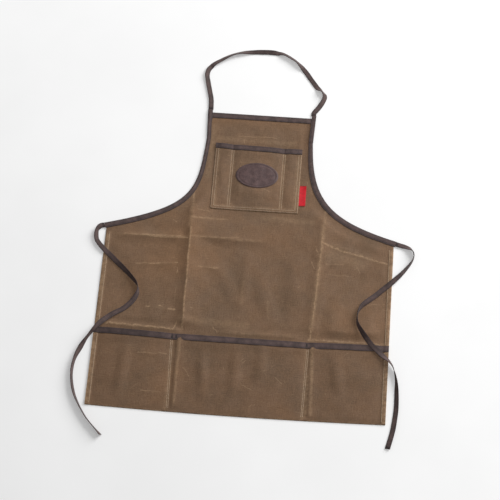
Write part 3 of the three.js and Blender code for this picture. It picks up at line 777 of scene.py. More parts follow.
@dataclass(frozen=True)
class WaxedCanvas:
    """Brown waxed canvas: cloudy wax, slubby yarn, pale cracks on the folds, painted highlights and painted shadow."""

    mid: Colour = (0.174, 0.101, 0.0550, 1.0)
    dark: Colour = (0.144, 0.087, 0.0485, 1.0)
    warm: Colour = (0.208, 0.111, 0.0530, 1.0)
    pale: Colour = (0.430, 0.285, 0.165, 1.0)
    # Painted shadow: the tone of the dark strip beside the right armhole binding
    soiled: Colour = (0.105, 0.056, 0.030, 1.0)
    warm_bib: tuple[float, float] = (0.775, 0.825)
    cloud_scale: float = 8.0
    warmth_scale: float = 4.0
    grain_scale: float = 330.0
    slub_scales: tuple[float, float] = (700.0, 45.0)
    break_scale: float = 90.0
    speck_scale: float = 520.0
    gloss_scale: float = 30.0
    gap_scale: float = 150.0
    ragged_scale: float = 60.0
    ragged: float = 0.008
    scratch_scale: tuple[float, float, float] = (38.0, 620.0, 0.0)
    scratch_turns: tuple[float, ...] = (0.1, 1.2, 2.4)
    weave_pitch: float = 0.0011
    weave_depth: float = 0.00022
    slub_depth: float = 0.0004
    group: bpy.types.NodeTree = field(default_factory=scuff_and_highlight_group)

    def scuffed(self, bench: Bench, place: Socket, scuffs: Sequence[ScuffAndHighlight]) -> Socket:
        """Draw the pale lines, scuffs and painted highlights, with ragged, broken edges.

        Args:
            bench: the shader's bench.
            place: the surface's place.
            scuffs: the lines to draw.

        Returns:
            The strength of the marks, from 0 to 1.
        """
        cloud = {"Vector": place, "Scale": self.ragged_scale, "Detail": 3.0}
        shake = bench.node("ShaderNodeTexNoise", cloud).outputs[1]
        shake = bench.vector("SUBTRACT", shake, (0.5, 0.5, 0.5))
        shake = bench.vector("MULTIPLY", shake, (self.ragged, self.ragged, 0.0))
        ragged = bench.vector("ADD", place, shake)
        drawn = 0.0
        for scuff in scuffs:
            inputs = {
                "Place": ragged,
                "Start": (scuff.ax, scuff.ay + HEM_SHIFT, 0.0),
                "Run": (scuff.bx - scuff.ax, scuff.by - scuff.ay, 0.0),
                "Half Width": scuff.half_width,
                "Strength": scuff.strength,
                "So Far": drawn,
            }
            drawn = bench.node("ShaderNodeGroup", inputs, node_tree=self.group).outputs[0]
        gaps = bench.stretch(bench.noise(place, self.gap_scale, 4.0, 0.7), 0.36, 0.58, 0.25, 1.0)
        return bench.number("MULTIPLY", drawn, gaps)

    def hairlines(self, bench: Bench, place: Socket) -> Socket:
        """Scatter fine short scratches in three directions."""
        drawn = 0.0
        for turn in self.scratch_turns:
            inputs = {"Vector": place, "Axis": (0.0, 0.0, 1.0), "Angle": turn}
            turned = bench.node("ShaderNodeVectorRotate", inputs).outputs[0]
            long = bench.noise(bench.vector("MULTIPLY", turned, self.scratch_scale), 1.0, 2.0, 0.4)
            here = bench.stretch(bench.noise(turned, 14.0, 2.0), 0.50, 0.66)
            line = bench.number("MULTIPLY", bench.stretch(long, 0.67, 0.76, 0.0, 0.5), here)
            drawn = bench.number("MAXIMUM", drawn, line)
        return drawn

    def build(self, name: str, scuffs: Sequence[ScuffAndHighlight], shade: Colour) -> Material:
        """Make the finish for one cloth.

        Args:
            name: the material's name.
            scuffs: the pale lines on that cloth, scuffs and painted highlights.
            shade: a tint against the body's tone; on the lower pocket it is painted shade, for cloth that slopes away
                from the light.

        Returns:
            The material.
        """
        material, bench = new_material(name)
        place = bench.place()
        cloud = bench.noise(place, self.cloud_scale, 5.0, 0.6)
        tone = bench.mix(bench.stretch(cloud, 0.34, 0.62), self.dark, self.mid)
        warmth = bench.noise(bench.vector("ADD", place, (3.1, 1.7, 0.0)), self.warmth_scale, 4.0)
        apart = bench.node("ShaderNodeSeparateXYZ", {0: place}).outputs
        top = bench.stretch(apart[1], self.warm_bib[0] + HEM_SHIFT, self.warm_bib[1] + HEM_SHIFT, 0.0, 0.5)
        warmth = bench.number("MAXIMUM", bench.stretch(warmth, 0.48, 0.74, 0.0, 0.6), top)
        tone = bench.mix(warmth, tone, self.warm)
        # Multiply by the shade: a tint, and on the lower pocket painted shade
        tone = bench.mix(1.0, tone, shade, "MULTIPLY")
        # Painted shadow: darken the bib beside the right armhole binding, where the binding's shade falls
        tone = bench.mix(bench.number("MULTIPLY", bench.mark("soil"), 0.6), tone, self.soiled)
        grain = bench.noise(place, self.grain_scale, 4.0, 0.7)
        fine, coarse = self.slub_scales
        warp = bench.noise(bench.vector("MULTIPLY", place, (fine, coarse, 0.0)), 1.0, 2.0)
        weft = bench.noise(bench.vector("MULTIPLY", place, (coarse, fine, 0.0)), 1.0, 2.0)
        slub = bench.number("ADD", warp, weft)
        tone = bench.mix(1.0, tone, bench.stretch(grain, 0.25, 0.75, 0.80, 1.20), "MULTIPLY")
        tone = bench.mix(1.0, tone, bench.stretch(slub, 0.70, 1.30, 0.86, 1.14), "MULTIPLY")
        broken = bench.stretch(bench.noise(place, self.break_scale, 4.0, 0.7), 0.38, 0.60, 0.2, 1.0)
        rubbed = bench.number("MULTIPLY", bench.mark("rub"), broken)
        rubbed = bench.number("MULTIPLY", rubbed, 0.6)
        # Pale: rubbed crests and scuffs as wear, with painted highlights
        wear_and_highlight = bench.number("MAXIMUM", rubbed, self.scuffed(bench, place, scuffs))
        tone = bench.mix(wear_and_highlight, tone, self.pale)
        speck = bench.stretch(bench.noise(place, self.speck_scale, 2.0), 0.66, 0.78, 0.0, 0.35)
        tone = bench.mix(bench.number("MAXIMUM", speck, self.hairlines(bench, place)), tone, self.pale)
        weave = bench.number(
            "MULTIPLY", bench.wave(apart[0], self.weave_pitch), bench.wave(apart[1], self.weave_pitch))
        bumped = bench.bump(bench.stretch(weave, -1.0, 1.0), self.weave_depth, 0.6)
        bumped = bench.bump(bench.number("ADD", slub, grain), self.slub_depth, 0.5, bumped)
        rough = bench.stretch(bench.noise(place, self.gloss_scale, 4.0), 0.3, 0.7, 0.62, 0.80)
        bench.surface({
            "Base Color": tone,
            "Roughness": rough,
            "Normal": bumped,
            "Specular IOR Level": 0.22,
            "Sheen Weight": 0.03,
            "Sheen Roughness": 0.5,
        })
        return material


@dataclass(frozen=True)
class TwillTape:
    """Dark brown twill tape, paler in its middle and darker at its margins."""

    base: Colour = (0.066, 0.044, 0.042, 1.0)
    middle: Colour = (0.081, 0.054, 0.050, 1.0)
    margin: Colour = (0.048, 0.033, 0.032, 1.0)
    cloud_scale: float = 45.0
    grain_scale: float = 700.0
    twill_pitch: float = 0.0011
    twill_depth: float = 0.0002
    left_shade: float = 1.0
    shade_ends: tuple[float, float] = (-0.235, -0.205)

    def build(self, name: str) -> Material:
        """Make the finish of bindings, ties and strap."""
        material, bench = new_material(name)
        place = bench.place()
        across, along = bench.mark("across"), bench.mark("along")
        off_middle = bench.number("ABSOLUTE", bench.number("SUBTRACT", across, 0.5))
        tone = bench.mix(bench.stretch(off_middle, 0.10, 0.30), self.middle, self.base)
        tone = bench.mix(bench.stretch(off_middle, 0.34, 0.50), tone, self.margin)
        cloud = bench.noise(place, self.cloud_scale, 4.0, 0.65)
        tone = bench.mix(1.0, tone, bench.stretch(cloud, 0.28, 0.72, 0.66, 1.34), "MULTIPLY")
        lay = bench.number("ADD", bench.number("MULTIPLY", across, TAPE_WIDTH), along)
        twill = bench.wave(lay, self.twill_pitch)
        grain = bench.noise(place, self.grain_scale, 3.0, 0.7)
        tone = bench.mix(1.0, tone, bench.stretch(twill, -1.0, 1.0, 0.88, 1.12), "MULTIPLY")
        tone = bench.mix(1.0, tone, bench.stretch(grain, 0.25, 0.75, 0.82, 1.18), "MULTIPLY")
        x = bench.node("ShaderNodeSeparateXYZ", {0: place}).outputs[0]
        tone = bench.mix(1.0, tone, bench.stretch(x, *self.shade_ends, self.left_shade, 1.0), "MULTIPLY")
        bumped = bench.bump(bench.stretch(twill, -1.0, 1.0), self.twill_depth, 0.6)
        bumped = bench.bump(grain, self.twill_depth, 0.5, bumped)
        bench.surface({
            "Base Color": tone,
            "Roughness": bench.stretch(cloud, 0.3, 0.7, 0.68, 0.86),
            "Normal": bumped,
            "Specular IOR Level": 0.25,
            "Sheen Weight": 0.06,
            "Sheen Roughness": 0.45,
        })
        return material


@dataclass(frozen=True)
class PatchLeather:
    """Dark brown leather with a pebbled grain."""

    base: Colour = (0.118, 0.072, 0.069, 1.0)
    dark: Colour = (0.078, 0.049, 0.048, 1.0)
    cloud_scale: float = 70.0
    cloud_depth: float = 0.0006
    pebble_scale: float = 620.0
    pebble_depth: float = 0.00025

    def build(self, name: str) -> Material:
        """Make the finish of the patch."""
        material, bench = new_material(name)
        place = bench.place()
        cloud = bench.noise(place, self.cloud_scale, 4.0, 0.6)
        tone = bench.mix(bench.stretch(cloud, 0.3, 0.7), self.dark, self.base)
        grain = {"Vector": place, "Scale": self.pebble_scale}
        cells = bench.node("ShaderNodeTexVoronoi", grain).outputs["Distance"]
        tone = bench.mix(1.0, tone, bench.stretch(cells, 0.1, 0.8, 1.10, 0.80), "MULTIPLY")
        # Darker in the pressed border line, and at the rim as painted shade
        tone = bench.mix(bench.mark("pressed"), tone, self.dark)
        bumped = bench.bump(bench.stretch(cells, 0.0, 0.8, 1.0, 0.0), self.pebble_depth, 0.6)
        bumped = bench.bump(cloud, self.cloud_depth, 0.4, bumped)
        bench.surface({
            "Base Color": tone,
            "Roughness": bench.stretch(cloud, 0.3, 0.7, 0.46, 0.62),
            "Normal": bumped,
            "Specular IOR Level": 0.22,
        })
        return material


@dataclass(frozen=True)
class RibbonSatin:
    """Red woven ribbon with fine ribs and darker selvedges."""

    base: Colour = (0.560, 0.011, 0.021, 1.0)
    dark: Colour = (0.360, 0.007, 0.013, 1.0)
    cloud_scale: float = 160.0
    rib_pitch: float = 0.0007
    rib_depth: float = 0.00015

    def build(self, name: str) -> Material:
        """Make the finish of the tag."""
        material, bench = new_material(name)
        place = bench.place()
        off_middle = bench.number("ABSOLUTE", bench.number("SUBTRACT", bench.mark("across"), 0.5))
        cloud = bench.noise(place, self.cloud_scale, 4.0)
        tone = bench.mix(bench.stretch(off_middle, 0.44, 0.50), self.base, self.dark)
        tone = bench.mix(1.0, tone, bench.stretch(cloud, 0.3, 0.7, 0.86, 1.12), "MULTIPLY")
        ribs = bench.wave(bench.mark("along"), self.rib_pitch)
        bumped = bench.bump(bench.stretch(ribs, -1.0, 1.0), self.rib_depth, 0.6)
        bench.surface({
            "Base Color": tone,
            "Roughness": bench.stretch(cloud, 0.3, 0.7, 0.42, 0.56),
            "Normal": bumped,
            "Specular IOR Level": 0.15,
        })
        return material


@dataclass(frozen=True)
class Thread:
    """Twisted sewing thread."""

    colour: Colour
    twist: float = 1500.0
    depth: float = 0.0001

    def build(self, name: str) -> Material:
        """Make the finish of one thread."""
        material, bench = new_material(name)
        place = bench.place()
        lay = bench.noise(place, self.twist, 2.0)
        tone = bench.mix(1.0, self.colour, bench.stretch(lay, 0.3, 0.7, 0.78, 1.18), "MULTIPLY")
        bumped = bench.bump(lay, self.depth, 0.5)
        bench.surface({"Base Color": tone, "Roughness": 0.7, "Normal": bumped})
        return material


@dataclass(frozen=True)
class PaleFloor:
    """Matt pale surface under the apron."""

    light: Colour = (0.93, 0.93, 0.93, 1.0)
    shade: Colour = (0.90, 0.90, 0.90, 1.0)
    cloud_scale: float = 3.0

    def build(self, name: str) -> Material:
        """Make the finish of the floor."""
        material, bench = new_material(name)
        cloud = bench.noise(bench.place(), self.cloud_scale)
        tone = bench.mix(bench.stretch(cloud, 0.3, 0.7), self.shade, self.light)
        bench.surface({"Base Color": tone, "Roughness": 0.9, "Specular IOR Level": 0.2})
        return material


@dataclass
class Finishes:
    """Every material of the apron, made once."""

    body_canvas: Material
    pocket_canvas: Material
    chest_canvas: Material
    tape: Material
    lower_tape: Material
    leather: Material
    ribbon: Material
    tan_thread: Material
    dark_thread: Material
    black_thread: Material

    @classmethod
    def make(cls) -> "Finishes":
        """Build all the finishes."""
        canvas = WaxedCanvas()
        return cls(
            body_canvas=canvas.build("waxed_canvas_body", BODY_SCUFFS_AND_HIGHLIGHTS, (1.0, 1.0, 1.03, 1.0)),
            # The lower pocket's copy is darkened as painted shade
            pocket_canvas=canvas.build("waxed_canvas_pocket", POCKET_SCUFFS, (0.92, 0.91, 0.93, 1.0)),
            chest_canvas=canvas.build("waxed_canvas_chest", CHEST_SCUFFS, (1.01, 1.02, 1.07, 1.0)),
            tape=TwillTape().build("twill_tape"),
            lower_tape=TwillTape(left_shade=0.74).build("twill_tape_lower"),
            leather=PatchLeather().build("patch_leather"),
            ribbon=RibbonSatin().build("ribbon_satin"),
            tan_thread=Thread((0.48, 0.37, 0.26, 1.0)).build("tan_thread"),
            dark_thread=Thread((0.085, 0.066, 0.062, 1.0)).build("dark_thread"),
            black_thread=Thread((0.012, 0.010, 0.010, 1.0)).build("black_thread"),
        )


# Stitching


@dataclass(frozen=True)
class Stitch:
    """One kind of machine stitch."""

    pitch: float = 0.0036
    length: float = 0.0029
    radius: float = 0.00046
    sides: int = 6

    RING_SHARES = (0.0, 0.16, 0.5, 0.84, 1.0)
    RING_LIFTS = (-0.9, 0.3, 0.7, 0.3, -0.9)
    RING_SIZES = (0.7, 1.0, 1.1, 1.0, 0.7)

    def sew(self, name: str, rows: Sequence[Row]) -> Piece:
        """Sew rows of stitches as one mesh.

        Args:
            name: the piece's name.
            rows: for each row, its points on the cloth and the way up at each point.

        Returns:
            The new object.
        """
        points = np.concatenate([self.row_points(*row) for row in rows])
        rings = len(self.RING_SHARES)
        count = len(points) // (rings * self.sides)
        index = np.arange(len(points)).reshape(count, rings, self.sides)
        near, far = index[:, :-1], index[:, 1:]
        quads = np.stack([near, np.roll(near, -1, 2), np.roll(far, -1, 2), far], axis=-1).reshape(-1, 4)
        caps = np.concatenate([index[:, 0, ::-1], index[:, -1]])
        return make_piece(name, points, quads.tolist() + caps.tolist(), {})

    def row_points(self, line: Array, up: Array) -> Array:
        """Give the corners of one row of stitches.

        Args:
            line: points along the row.
            up: the way up from the cloth at each point.

        Returns:
            The corners, ring by ring and stitch by stitch.
        """
        gaps = np.linalg.norm(np.diff(line, axis=0), axis=1)
        reach = np.concatenate([[0.0], np.cumsum(gaps)])
        count = max(1, int((reach[-1] - self.length) / self.pitch) + 1)
        spare = reach[-1] - (count - 1) * self.pitch - self.length
        starts = max(spare, 0.0) / 2 + self.pitch * np.arange(count)
        spots = (starts[:, None] + self.length * np.array(self.RING_SHARES)).ravel()
        centre = np.stack([np.interp(spots, reach, column) for column in line.T], axis=1)
        normal = np.stack([np.interp(spots, reach, column) for column in up.T], axis=1)
        ahead = np.stack([np.interp(spots + self.radius, reach, column) for column in line.T], axis=1)
        back = np.stack([np.interp(spots - self.radius, reach, column) for column in line.T], axis=1)
        along = ahead - back
        along /= np.linalg.norm(along, axis=1, keepdims=True)
        beside = np.cross(along, normal)
        beside /= np.linalg.norm(beside, axis=1, keepdims=True)
        normal = np.cross(beside, along)
        size = self.radius * np.tile(self.RING_SIZES, count)[:, None]
        centre = centre + normal * self.radius * np.tile(self.RING_LIFTS, count)[:, None]
        turns = 2 * math.pi * np.arange(self.sides) / self.sides
        ring = [centre + size * (math.cos(t) * beside + math.sin(t) * normal) for t in turns]
        return np.stack(ring, axis=1).reshape(-1, 3)


SEAM = Stitch()
FINE_SEAM = Stitch(pitch=0.0032, length=0.0026, radius=0.00026)
BARTACK = Stitch(pitch=0.0032, length=0.0031, radius=0.00042)


def upright(count: int) -> Array:
    """Give the way straight up, once for each of count points."""
    return np.tile((0.0, 0.0, 1.0), (count, 1))


def laid_row(start: Sequence[float], end: Sequence[float], top: Height) -> Row:
    """Lay a straight row on a cloth.

    Args:
        start: the row's first place.
        end: the row's other end.
        top: the cloth's top height.

    Returns:
        Points along the row and the way up at each.
    """
    count = max(2, round(math.dist(start, end) / STITCH_ROW_STEP))
    x = np.linspace(start[0], end[0], count)
    y = np.linspace(start[1], end[1], count)
    line = np.stack([x, y, top(x, y)], axis=1)
    return line, upright(count)


# The canvas


@dataclass
class ApronBody:
    """The canvas skirt and bib, cut in one with turned side hems."""

    half_width: float = 0.3555
    hem_y: float = 0.001
    bow: float = 0.005
    bow_reach: float = 0.120
    waist_y: float = 0.490
    low_pull: tuple[float, float] = (0.157, 0.547)
    high_pull: tuple[float, float] = (0.142, 0.601)
    bib_narrow: tuple[float, float] = (0.133, 0.762)
    bib_top: tuple[float, float] = (0.136, BIB_TOP_Y)
    bib_centre_x: float = 0.0045
    bib_centre_reach: float = 0.110
    bib_sway: float = 0.004
    bib_sway_peak: float = 0.070
    bib_sway_end: float = 0.230
    side_hem: float = 0.012
    side_hem_top: float = 0.466
    side_hem_fade: float = 0.012
    hem_seam_in: float = 0.0022
    hem_seam_foot: float = 0.206
    edge_full: float = 0.020
    edge_end: float = 0.046
    # Where the painted shadow beside the right armhole binding starts up the bib, and how far in from the edge it
    # fades
    soil_rise: tuple[float, float] = (0.640, 0.700)
    soil_fade: tuple[float, float] = (0.012, 0.026)
    slack_low: float = 0.202
    slack_full: float = 0.240
    relief: Relief = Relief(
        BODY_CREASES, BODY_ROLLS, (Ripple(11, 0.0013, 0.060, 0.190), Ripple(23, 0.0003, 0.014, 0.040)))

    ROW_STEP = 0.0037
    HIDDEN_ROW_STEP = 0.010
    COLUMN_STEP = 0.0040
    FINE_COLUMN_STEP = 0.0010
    FINE_COLUMNS = ((-0.152, -0.138), (0.163, 0.188))
    EDGE_ROUND = 0.0012
    EDGE_THINNED = 0.6
    EDGE_RUB = 0.5
    EDGE_RUB_REACH = 0.003
    HEM_RUB = 0.55
    HEM_STEP = (-0.0010, 0.0035)
    HEM_COLUMNS = (0.0005, 0.0020, 0.0035, 0.0070)
    HIDDEN_MARGIN = 0.015
    SIDE_SAMPLES = 90
    BIB_SAMPLES = 16
    OUTLINE_STRIDE = 4

    @property
    def inner(self) -> float:
        """The half width inside the turned hems."""
        return self.half_width - self.side_hem

    @cached_property
    def side_line(self) -> Array:
        """The right side from the waist to the bib's top, about the bib's centre."""
        share = np.linspace(0.0, 1.0, self.SIDE_SAMPLES)[:, None]
        corners = np.array([(self.half_width, self.waist_y), self.low_pull, self.high_pull, self.bib_narrow])
        rest = 1 - share
        weights = np.hstack([rest**3, 3 * share * rest**2, 3 * share**2 * rest, share**3])
        bib = np.linspace(self.bib_narrow, self.bib_top, self.BIB_SAMPLES)[1:]
        return np.vstack([weights @ corners, bib])

    def bib_centre(self, y: Array) -> Array:
        """Give the bib's sideways lean and sway at each height."""
        peak = self.waist_y + self.bib_sway_peak
        sway = smoothstep(y, self.waist_y, peak) - smoothstep(y, peak, self.waist_y + self.bib_sway_end)
        lean = self.bib_centre_x * smoothstep(y, self.waist_y, self.waist_y + self.bib_centre_reach)
        return lean + self.bib_sway * sway

    def edge(self, side: Side) -> Array:
        """Give one side's bound edge from the waist to the bib's top."""
        line = self.side_line.copy()
        line[:, 0] = self.bib_centre(line[:, 1]) + side.value * line[:, 0]
        return line

    def half_at(self, y: Array) -> Array:
        """Give the half width of the cloth at each height."""
        return np.interp(y, self.side_line[:, 1], self.side_line[:, 0], left=self.half_width)

    def bound(self, x: Array, y: Array) -> Array:
        """Give how firmly the folded tape holds the cloth, from 1 at a bound edge to 0."""
        stride = self.OUTLINE_STRIDE
        outline = np.vstack([self.edge(Side.LEFT)[::stride], self.edge(Side.RIGHT)[::-stride]])
        nearest = np.full(x.shape, np.inf)
        for start, end in zip(outline[:-1], outline[1:]):
            run, beside, length = along_segment(x, y, start, end)
            past = run - np.clip(run, 0.0, length)
            nearest = np.minimum(nearest, np.hypot(beside, past))
        return 1.0 - smoothstep(nearest, self.edge_full, self.edge_end)

    def bottom(self, x: Array, y: Array) -> Array:
        """Give the height of the cloth's back."""
        bound = self.bound(x, y)
        slack = smoothstep(y, self.slack_low, self.slack_full)
        crease = np.max([form.rise(x, y) for form in self.relief.creases], axis=0)
        full = self.relief.rise(x, y)
        return EDGE_LIFT * bound + (crease * (1 - slack) + full * slack) * (1 - bound)

    def hem_share(self, x: Array, y: Array) -> Array:
        """Give 1 on the turned side hems and 0 inside them."""
        low, high = self.HEM_STEP
        band = smoothstep(np.abs(x), self.inner + low, self.inner + high)
        return band * (1 - smoothstep(y, self.side_hem_top - self.side_hem_fade, self.side_hem_top))

    def top(self, x: Array, y: Array) -> Array:
        """Give the height of the cloth's face."""
        return self.bottom(x, y) + CLOTH * (1 + self.hem_share(x, y))

    def bowed(self, x: Array, y: Array) -> Array:
        """Give places up the apron with the hem's bow added."""
        across = 1 - (x / self.half_width) ** 2
        return y - self.bow * across * np.clip(1 - y / self.bow_reach, 0.0, 1.0)

    def columns(self) -> Array:
        """Give the grid's columns as shares of the half width, finest at the long folds."""
        hem = (*self.HEM_COLUMNS, self.side_hem - self.EDGE_ROUND, self.side_hem)
        side = self.inner + np.array(hem)
        flat = self.inner + self.HEM_STEP[0]
        count = 2 * round(flat / self.COLUMN_STEP) + 1
        middle = np.linspace(-flat, flat, count)
        for start, end in self.FINE_COLUMNS:
            fine = np.arange(start, end, self.FINE_COLUMN_STEP)
            outside = (middle < start - self.FINE_COLUMN_STEP) | (middle > end)
            middle = np.sort(np.concatenate([middle[outside], fine]))
        return np.concatenate([-side[::-1], middle, side]) / self.half_width

    def build(self, finishes: Finishes) -> None:
        """Make the cloth and the stitches of its side hems.

        Args:
            finishes: the apron's materials.
        """
        hidden = np.arange(self.hem_y, self.slack_low - self.HIDDEN_MARGIN, self.HIDDEN_ROW_STEP)
        count = round((BIB_TOP_Y - hidden[-1]) / self.ROW_STEP) + 1
        shown = np.linspace(hidden[-1], BIB_TOP_Y, count)[1:]
        y, share = np.meshgrid(np.concatenate([hidden, shown]), self.columns(), indexing="ij")
        x = self.bib_centre(y) + share * self.half_at(y)
        low, high = self.bottom(x, y), self.top(x, y)
        from_edge = (1 - np.abs(share)) * self.half_at(y)
        worn_edge = 1 - smoothstep(from_edge, 0.0, self.EDGE_RUB_REACH)
        thinned = self.EDGE_THINNED * (1 - smoothstep(from_edge, 0.0, self.EDGE_ROUND))
        high = low + (high - low) * (1 - thinned)
        rub = self.relief.rub(x, y) + self.EDGE_RUB * worn_edge + self.HEM_RUB * self.hem_share(x, y)
        rub = np.clip(rub, 0.0, 1.0)
        # Painted shadow on the bib beside the right armhole binding
        soil = smoothstep(y, *self.soil_rise) * (1 - smoothstep(from_edge, *self.soil_fade)) * (share > 0)
        level = self.bowed(x, y)
        cloth = closed_sheet(
            "apron_body_cloth", np.stack([x, level, high], -1), np.stack([x, level, low], -1),
            {"rub": rub, "soil": soil})
        dress(cloth, finishes.body_canvas, Slot.CANVAS, "apron_body")
        rows = []
        for side in Side:
            x = side.value * (self.inner + self.hem_seam_in)
            rows.append(laid_row((x, self.hem_seam_foot), (x, self.side_hem_top), self.top))
        stitches = dress(SEAM.sew("side_hem_stitches", rows), finishes.tan_thread, Slot.CANVAS)
        area = 2 * self.half_width * self.waist_y
        wide, up = self.side_line.T
        area += float(np.sum((wide[1:] + wide[:-1]) * np.diff(up)))
        flat = (2 * self.half_width, BIB_TOP_Y)
        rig.sheet(cloth, flat=flat, held="laid", area=area, with_pieces=[stitches])


@dataclass(frozen=True)
class Compartment:
    """A stretch of pocket sewn down at both sides, standing up by height between them."""

    left: float
    right: float
    height: float

    SHARPNESS = 0.75

    def puff(self, x: Array) -> Array:
        """Give the compartment's own height across it."""
        share = np.clip((x - self.left) / (self.right - self.left), 0.0, 1.0)
        return self.height * np.sin(math.pi * share) ** self.SHARPNESS


def eased(distance: Array, reach: float) -> Array:
    """Rise like a quarter of a sine, from 0 to 1 over reach."""
    return np.sin(math.pi / 2 * np.clip(distance / reach, 0.0, 1.0))


def mouth_lift(below: Array) -> Array:
    """Give how far the folded tape lifts a pocket near its mouth."""
    return EDGE_LIFT * (1 - smoothstep(below, *MOUTH_LIFT_REACH))


@dataclass
class LowerPocket:
    """The wide canvas pocket, turned round the hem and sewn along two dividers."""

    body: ApronBody
    mouth_y: float = 0.2017
    mouth_sag: float = 0.0065
    fold_out: float = 0.0025
    dividers: tuple[float, float] = (-0.163, 0.160)
    heights: tuple[float, float, float] = (0.0034, 0.0036, 0.0034)
    climb: float = 0.150
    band: float = 0.0167
    seam_half: float = 0.0019
    seam_leans: tuple[float, float] = (0.0060, -0.0040)
    relief: Relief = Relief(
        POCKET_CREASES, POCKET_ROLLS, (Ripple(31, 0.0007, 0.040, 0.120), Ripple(37, 0.0002, 0.012, 0.036)))

    GRID_STEP = 0.0035
    FOLD_ROWS = 6
    FOLD_FLOOR = 0.12
    FOLD_RUB = 0.8
    SEAM_HOLD = (0.002, 0.016)
    SEAM_RUB = 0.40
    SEAM_RUB_REACH = (0.002, 0.008)
    HEM_HOLD = (0.002, 0.012)
    WORN_EDGE = 0.002
    STITCH_FOOT = 0.002

    @cached_property
    def compartments(self) -> tuple[Compartment, ...]:
        """The three compartments from left to right."""
        ends = (-self.body.inner, *self.dividers, self.body.inner)
        return tuple(Compartment(a, b, high) for a, b, high in zip(ends, ends[1:], self.heights))

    def mouth(self, x: Array) -> Array:
        """Give where the mouth lies at each place across, lowest in the middle."""
        out = np.clip(np.abs(x) / self.body.half_width, 0.0, 1.0)
        return self.mouth_y - self.mouth_sag * (1 - out**2)

    def slack(self, x: Array, y: Array) -> Array:
        """Give the cloth's own relief, held down at the seams and the hem."""
        inner = self.body.inner
        near = np.min([np.abs(x - seam) for seam in (-inner, *self.dividers, inner)], axis=0)
        free = smoothstep(near, *self.SEAM_HOLD) * (np.abs(x) < inner)
        return self.relief.rise(x, y) * free * smoothstep(y, *self.HEM_HOLD)

    def bottom(self, x: Array, y: Array) -> Array:
        """Give the height of the pocket's inside."""
        puff = sum(part.puff(x) for part in self.compartments)
        over_body = CLOTH * (1 + self.body.hem_share(x, y)) + GAP
        return over_body + puff * eased(y, self.climb) + mouth_lift(self.mouth(x) - y) + self.slack(x, y)

    def top(self, x: Array, y: Array) -> Array:
        """Give the height of the pocket's face."""
        return self.bottom(x, y) + CLOTH

    def columns(self) -> Array:
        """Give the grid's columns, closest together at the turned hems."""
        inner = self.body.inner
        side = inner + np.array([*self.body.HEM_COLUMNS, self.body.side_hem])
        flat = inner + self.body.HEM_STEP[0]
        middle = np.linspace(-flat, flat, round(2 * inner / self.GRID_STEP))
        return np.concatenate([-side[::-1], middle, side])

    def build(self, finishes: Finishes) -> None:
        """Make the pocket and its stitches.

        Args:
            finishes: the apron's materials.
        """
        start = self.body.hem_y
        up = np.linspace(0.0, 1.0, round(self.mouth_y / self.GRID_STEP))
        share, x = np.meshgrid(up, self.columns(), indexing="ij")
        y = start + share * (self.mouth(x) - start)
        low, high = self.bottom(x, y), self.top(x, y)
        angles = np.linspace(90.0, 0.0, self.FOLD_ROWS, endpoint=False)
        turn = np.radians(angles)[:, None]
        fold_x = np.tile(x[0], (self.FOLD_ROWS, 1))
        fold_y = np.full_like(fold_x, start)
        face_y = fold_y - self.fold_out * np.sin(turn)
        back_y = fold_y - (self.fold_out - CLOTH) * np.sin(turn)
        top = np.stack([
            np.vstack([fold_x, x]),
            self.body.bowed(np.vstack([fold_x, x]), np.vstack([face_y, y])),
            np.vstack([high[0] * (self.FOLD_FLOOR + (1 - self.FOLD_FLOOR) * np.cos(turn)), high]),
        ], axis=-1)
        bottom = np.stack([
            np.vstack([fold_x, x]),
            self.body.bowed(np.vstack([fold_x, x]), np.vstack([back_y, y])),
            np.vstack([low[0] * np.cos(turn), low]),
        ], axis=-1)
        worn_edge = np.abs(x) > self.body.half_width - self.WORN_EDGE
        seams = np.min([np.abs(x - seam) for seam in self.dividers], axis=0)
        rub = self.relief.rub(x, y) + self.body.HEM_RUB * self.body.hem_share(x, y)
        rub = rub + self.body.EDGE_RUB * worn_edge
        rub = rub + self.SEAM_RUB * (1 - smoothstep(seams, *self.SEAM_RUB_REACH))
        rub = np.clip(np.vstack([np.full_like(fold_x, self.FOLD_RUB), rub]), 0.0, 1.0)
        cloth = dress(
            closed_sheet("lower_pocket_cloth", top, bottom, {"rub": rub}),
            finishes.pocket_canvas, Slot.CANVAS, "lower_pocket")
        seam_x = self.body.inner + self.body.hem_seam_in
        foot = start + self.STITCH_FOOT
        lines = [(side.value * seam_x, 0.0) for side in Side]
        for seam, lean in zip(self.dividers, self.seam_leans):
            lines += [(seam + shift, lean) for shift in (-self.seam_half, self.seam_half)]
        rows = []
        for line, lean in lines:
            head = float(self.mouth(np.array(line))) - self.band
            rows.append(laid_row((line + lean / 2, foot), (line - lean / 2, head), self.top))
        stitches = dress(SEAM.sew("lower_pocket_stitches", rows), finishes.tan_thread, Slot.CANVAS)
        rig.sheet(
            cloth, flat=(2 * self.body.half_width, self.mouth_y + self.fold_out), held="laid",
            rests_on=["apron_body"], with_pieces=[stitches])


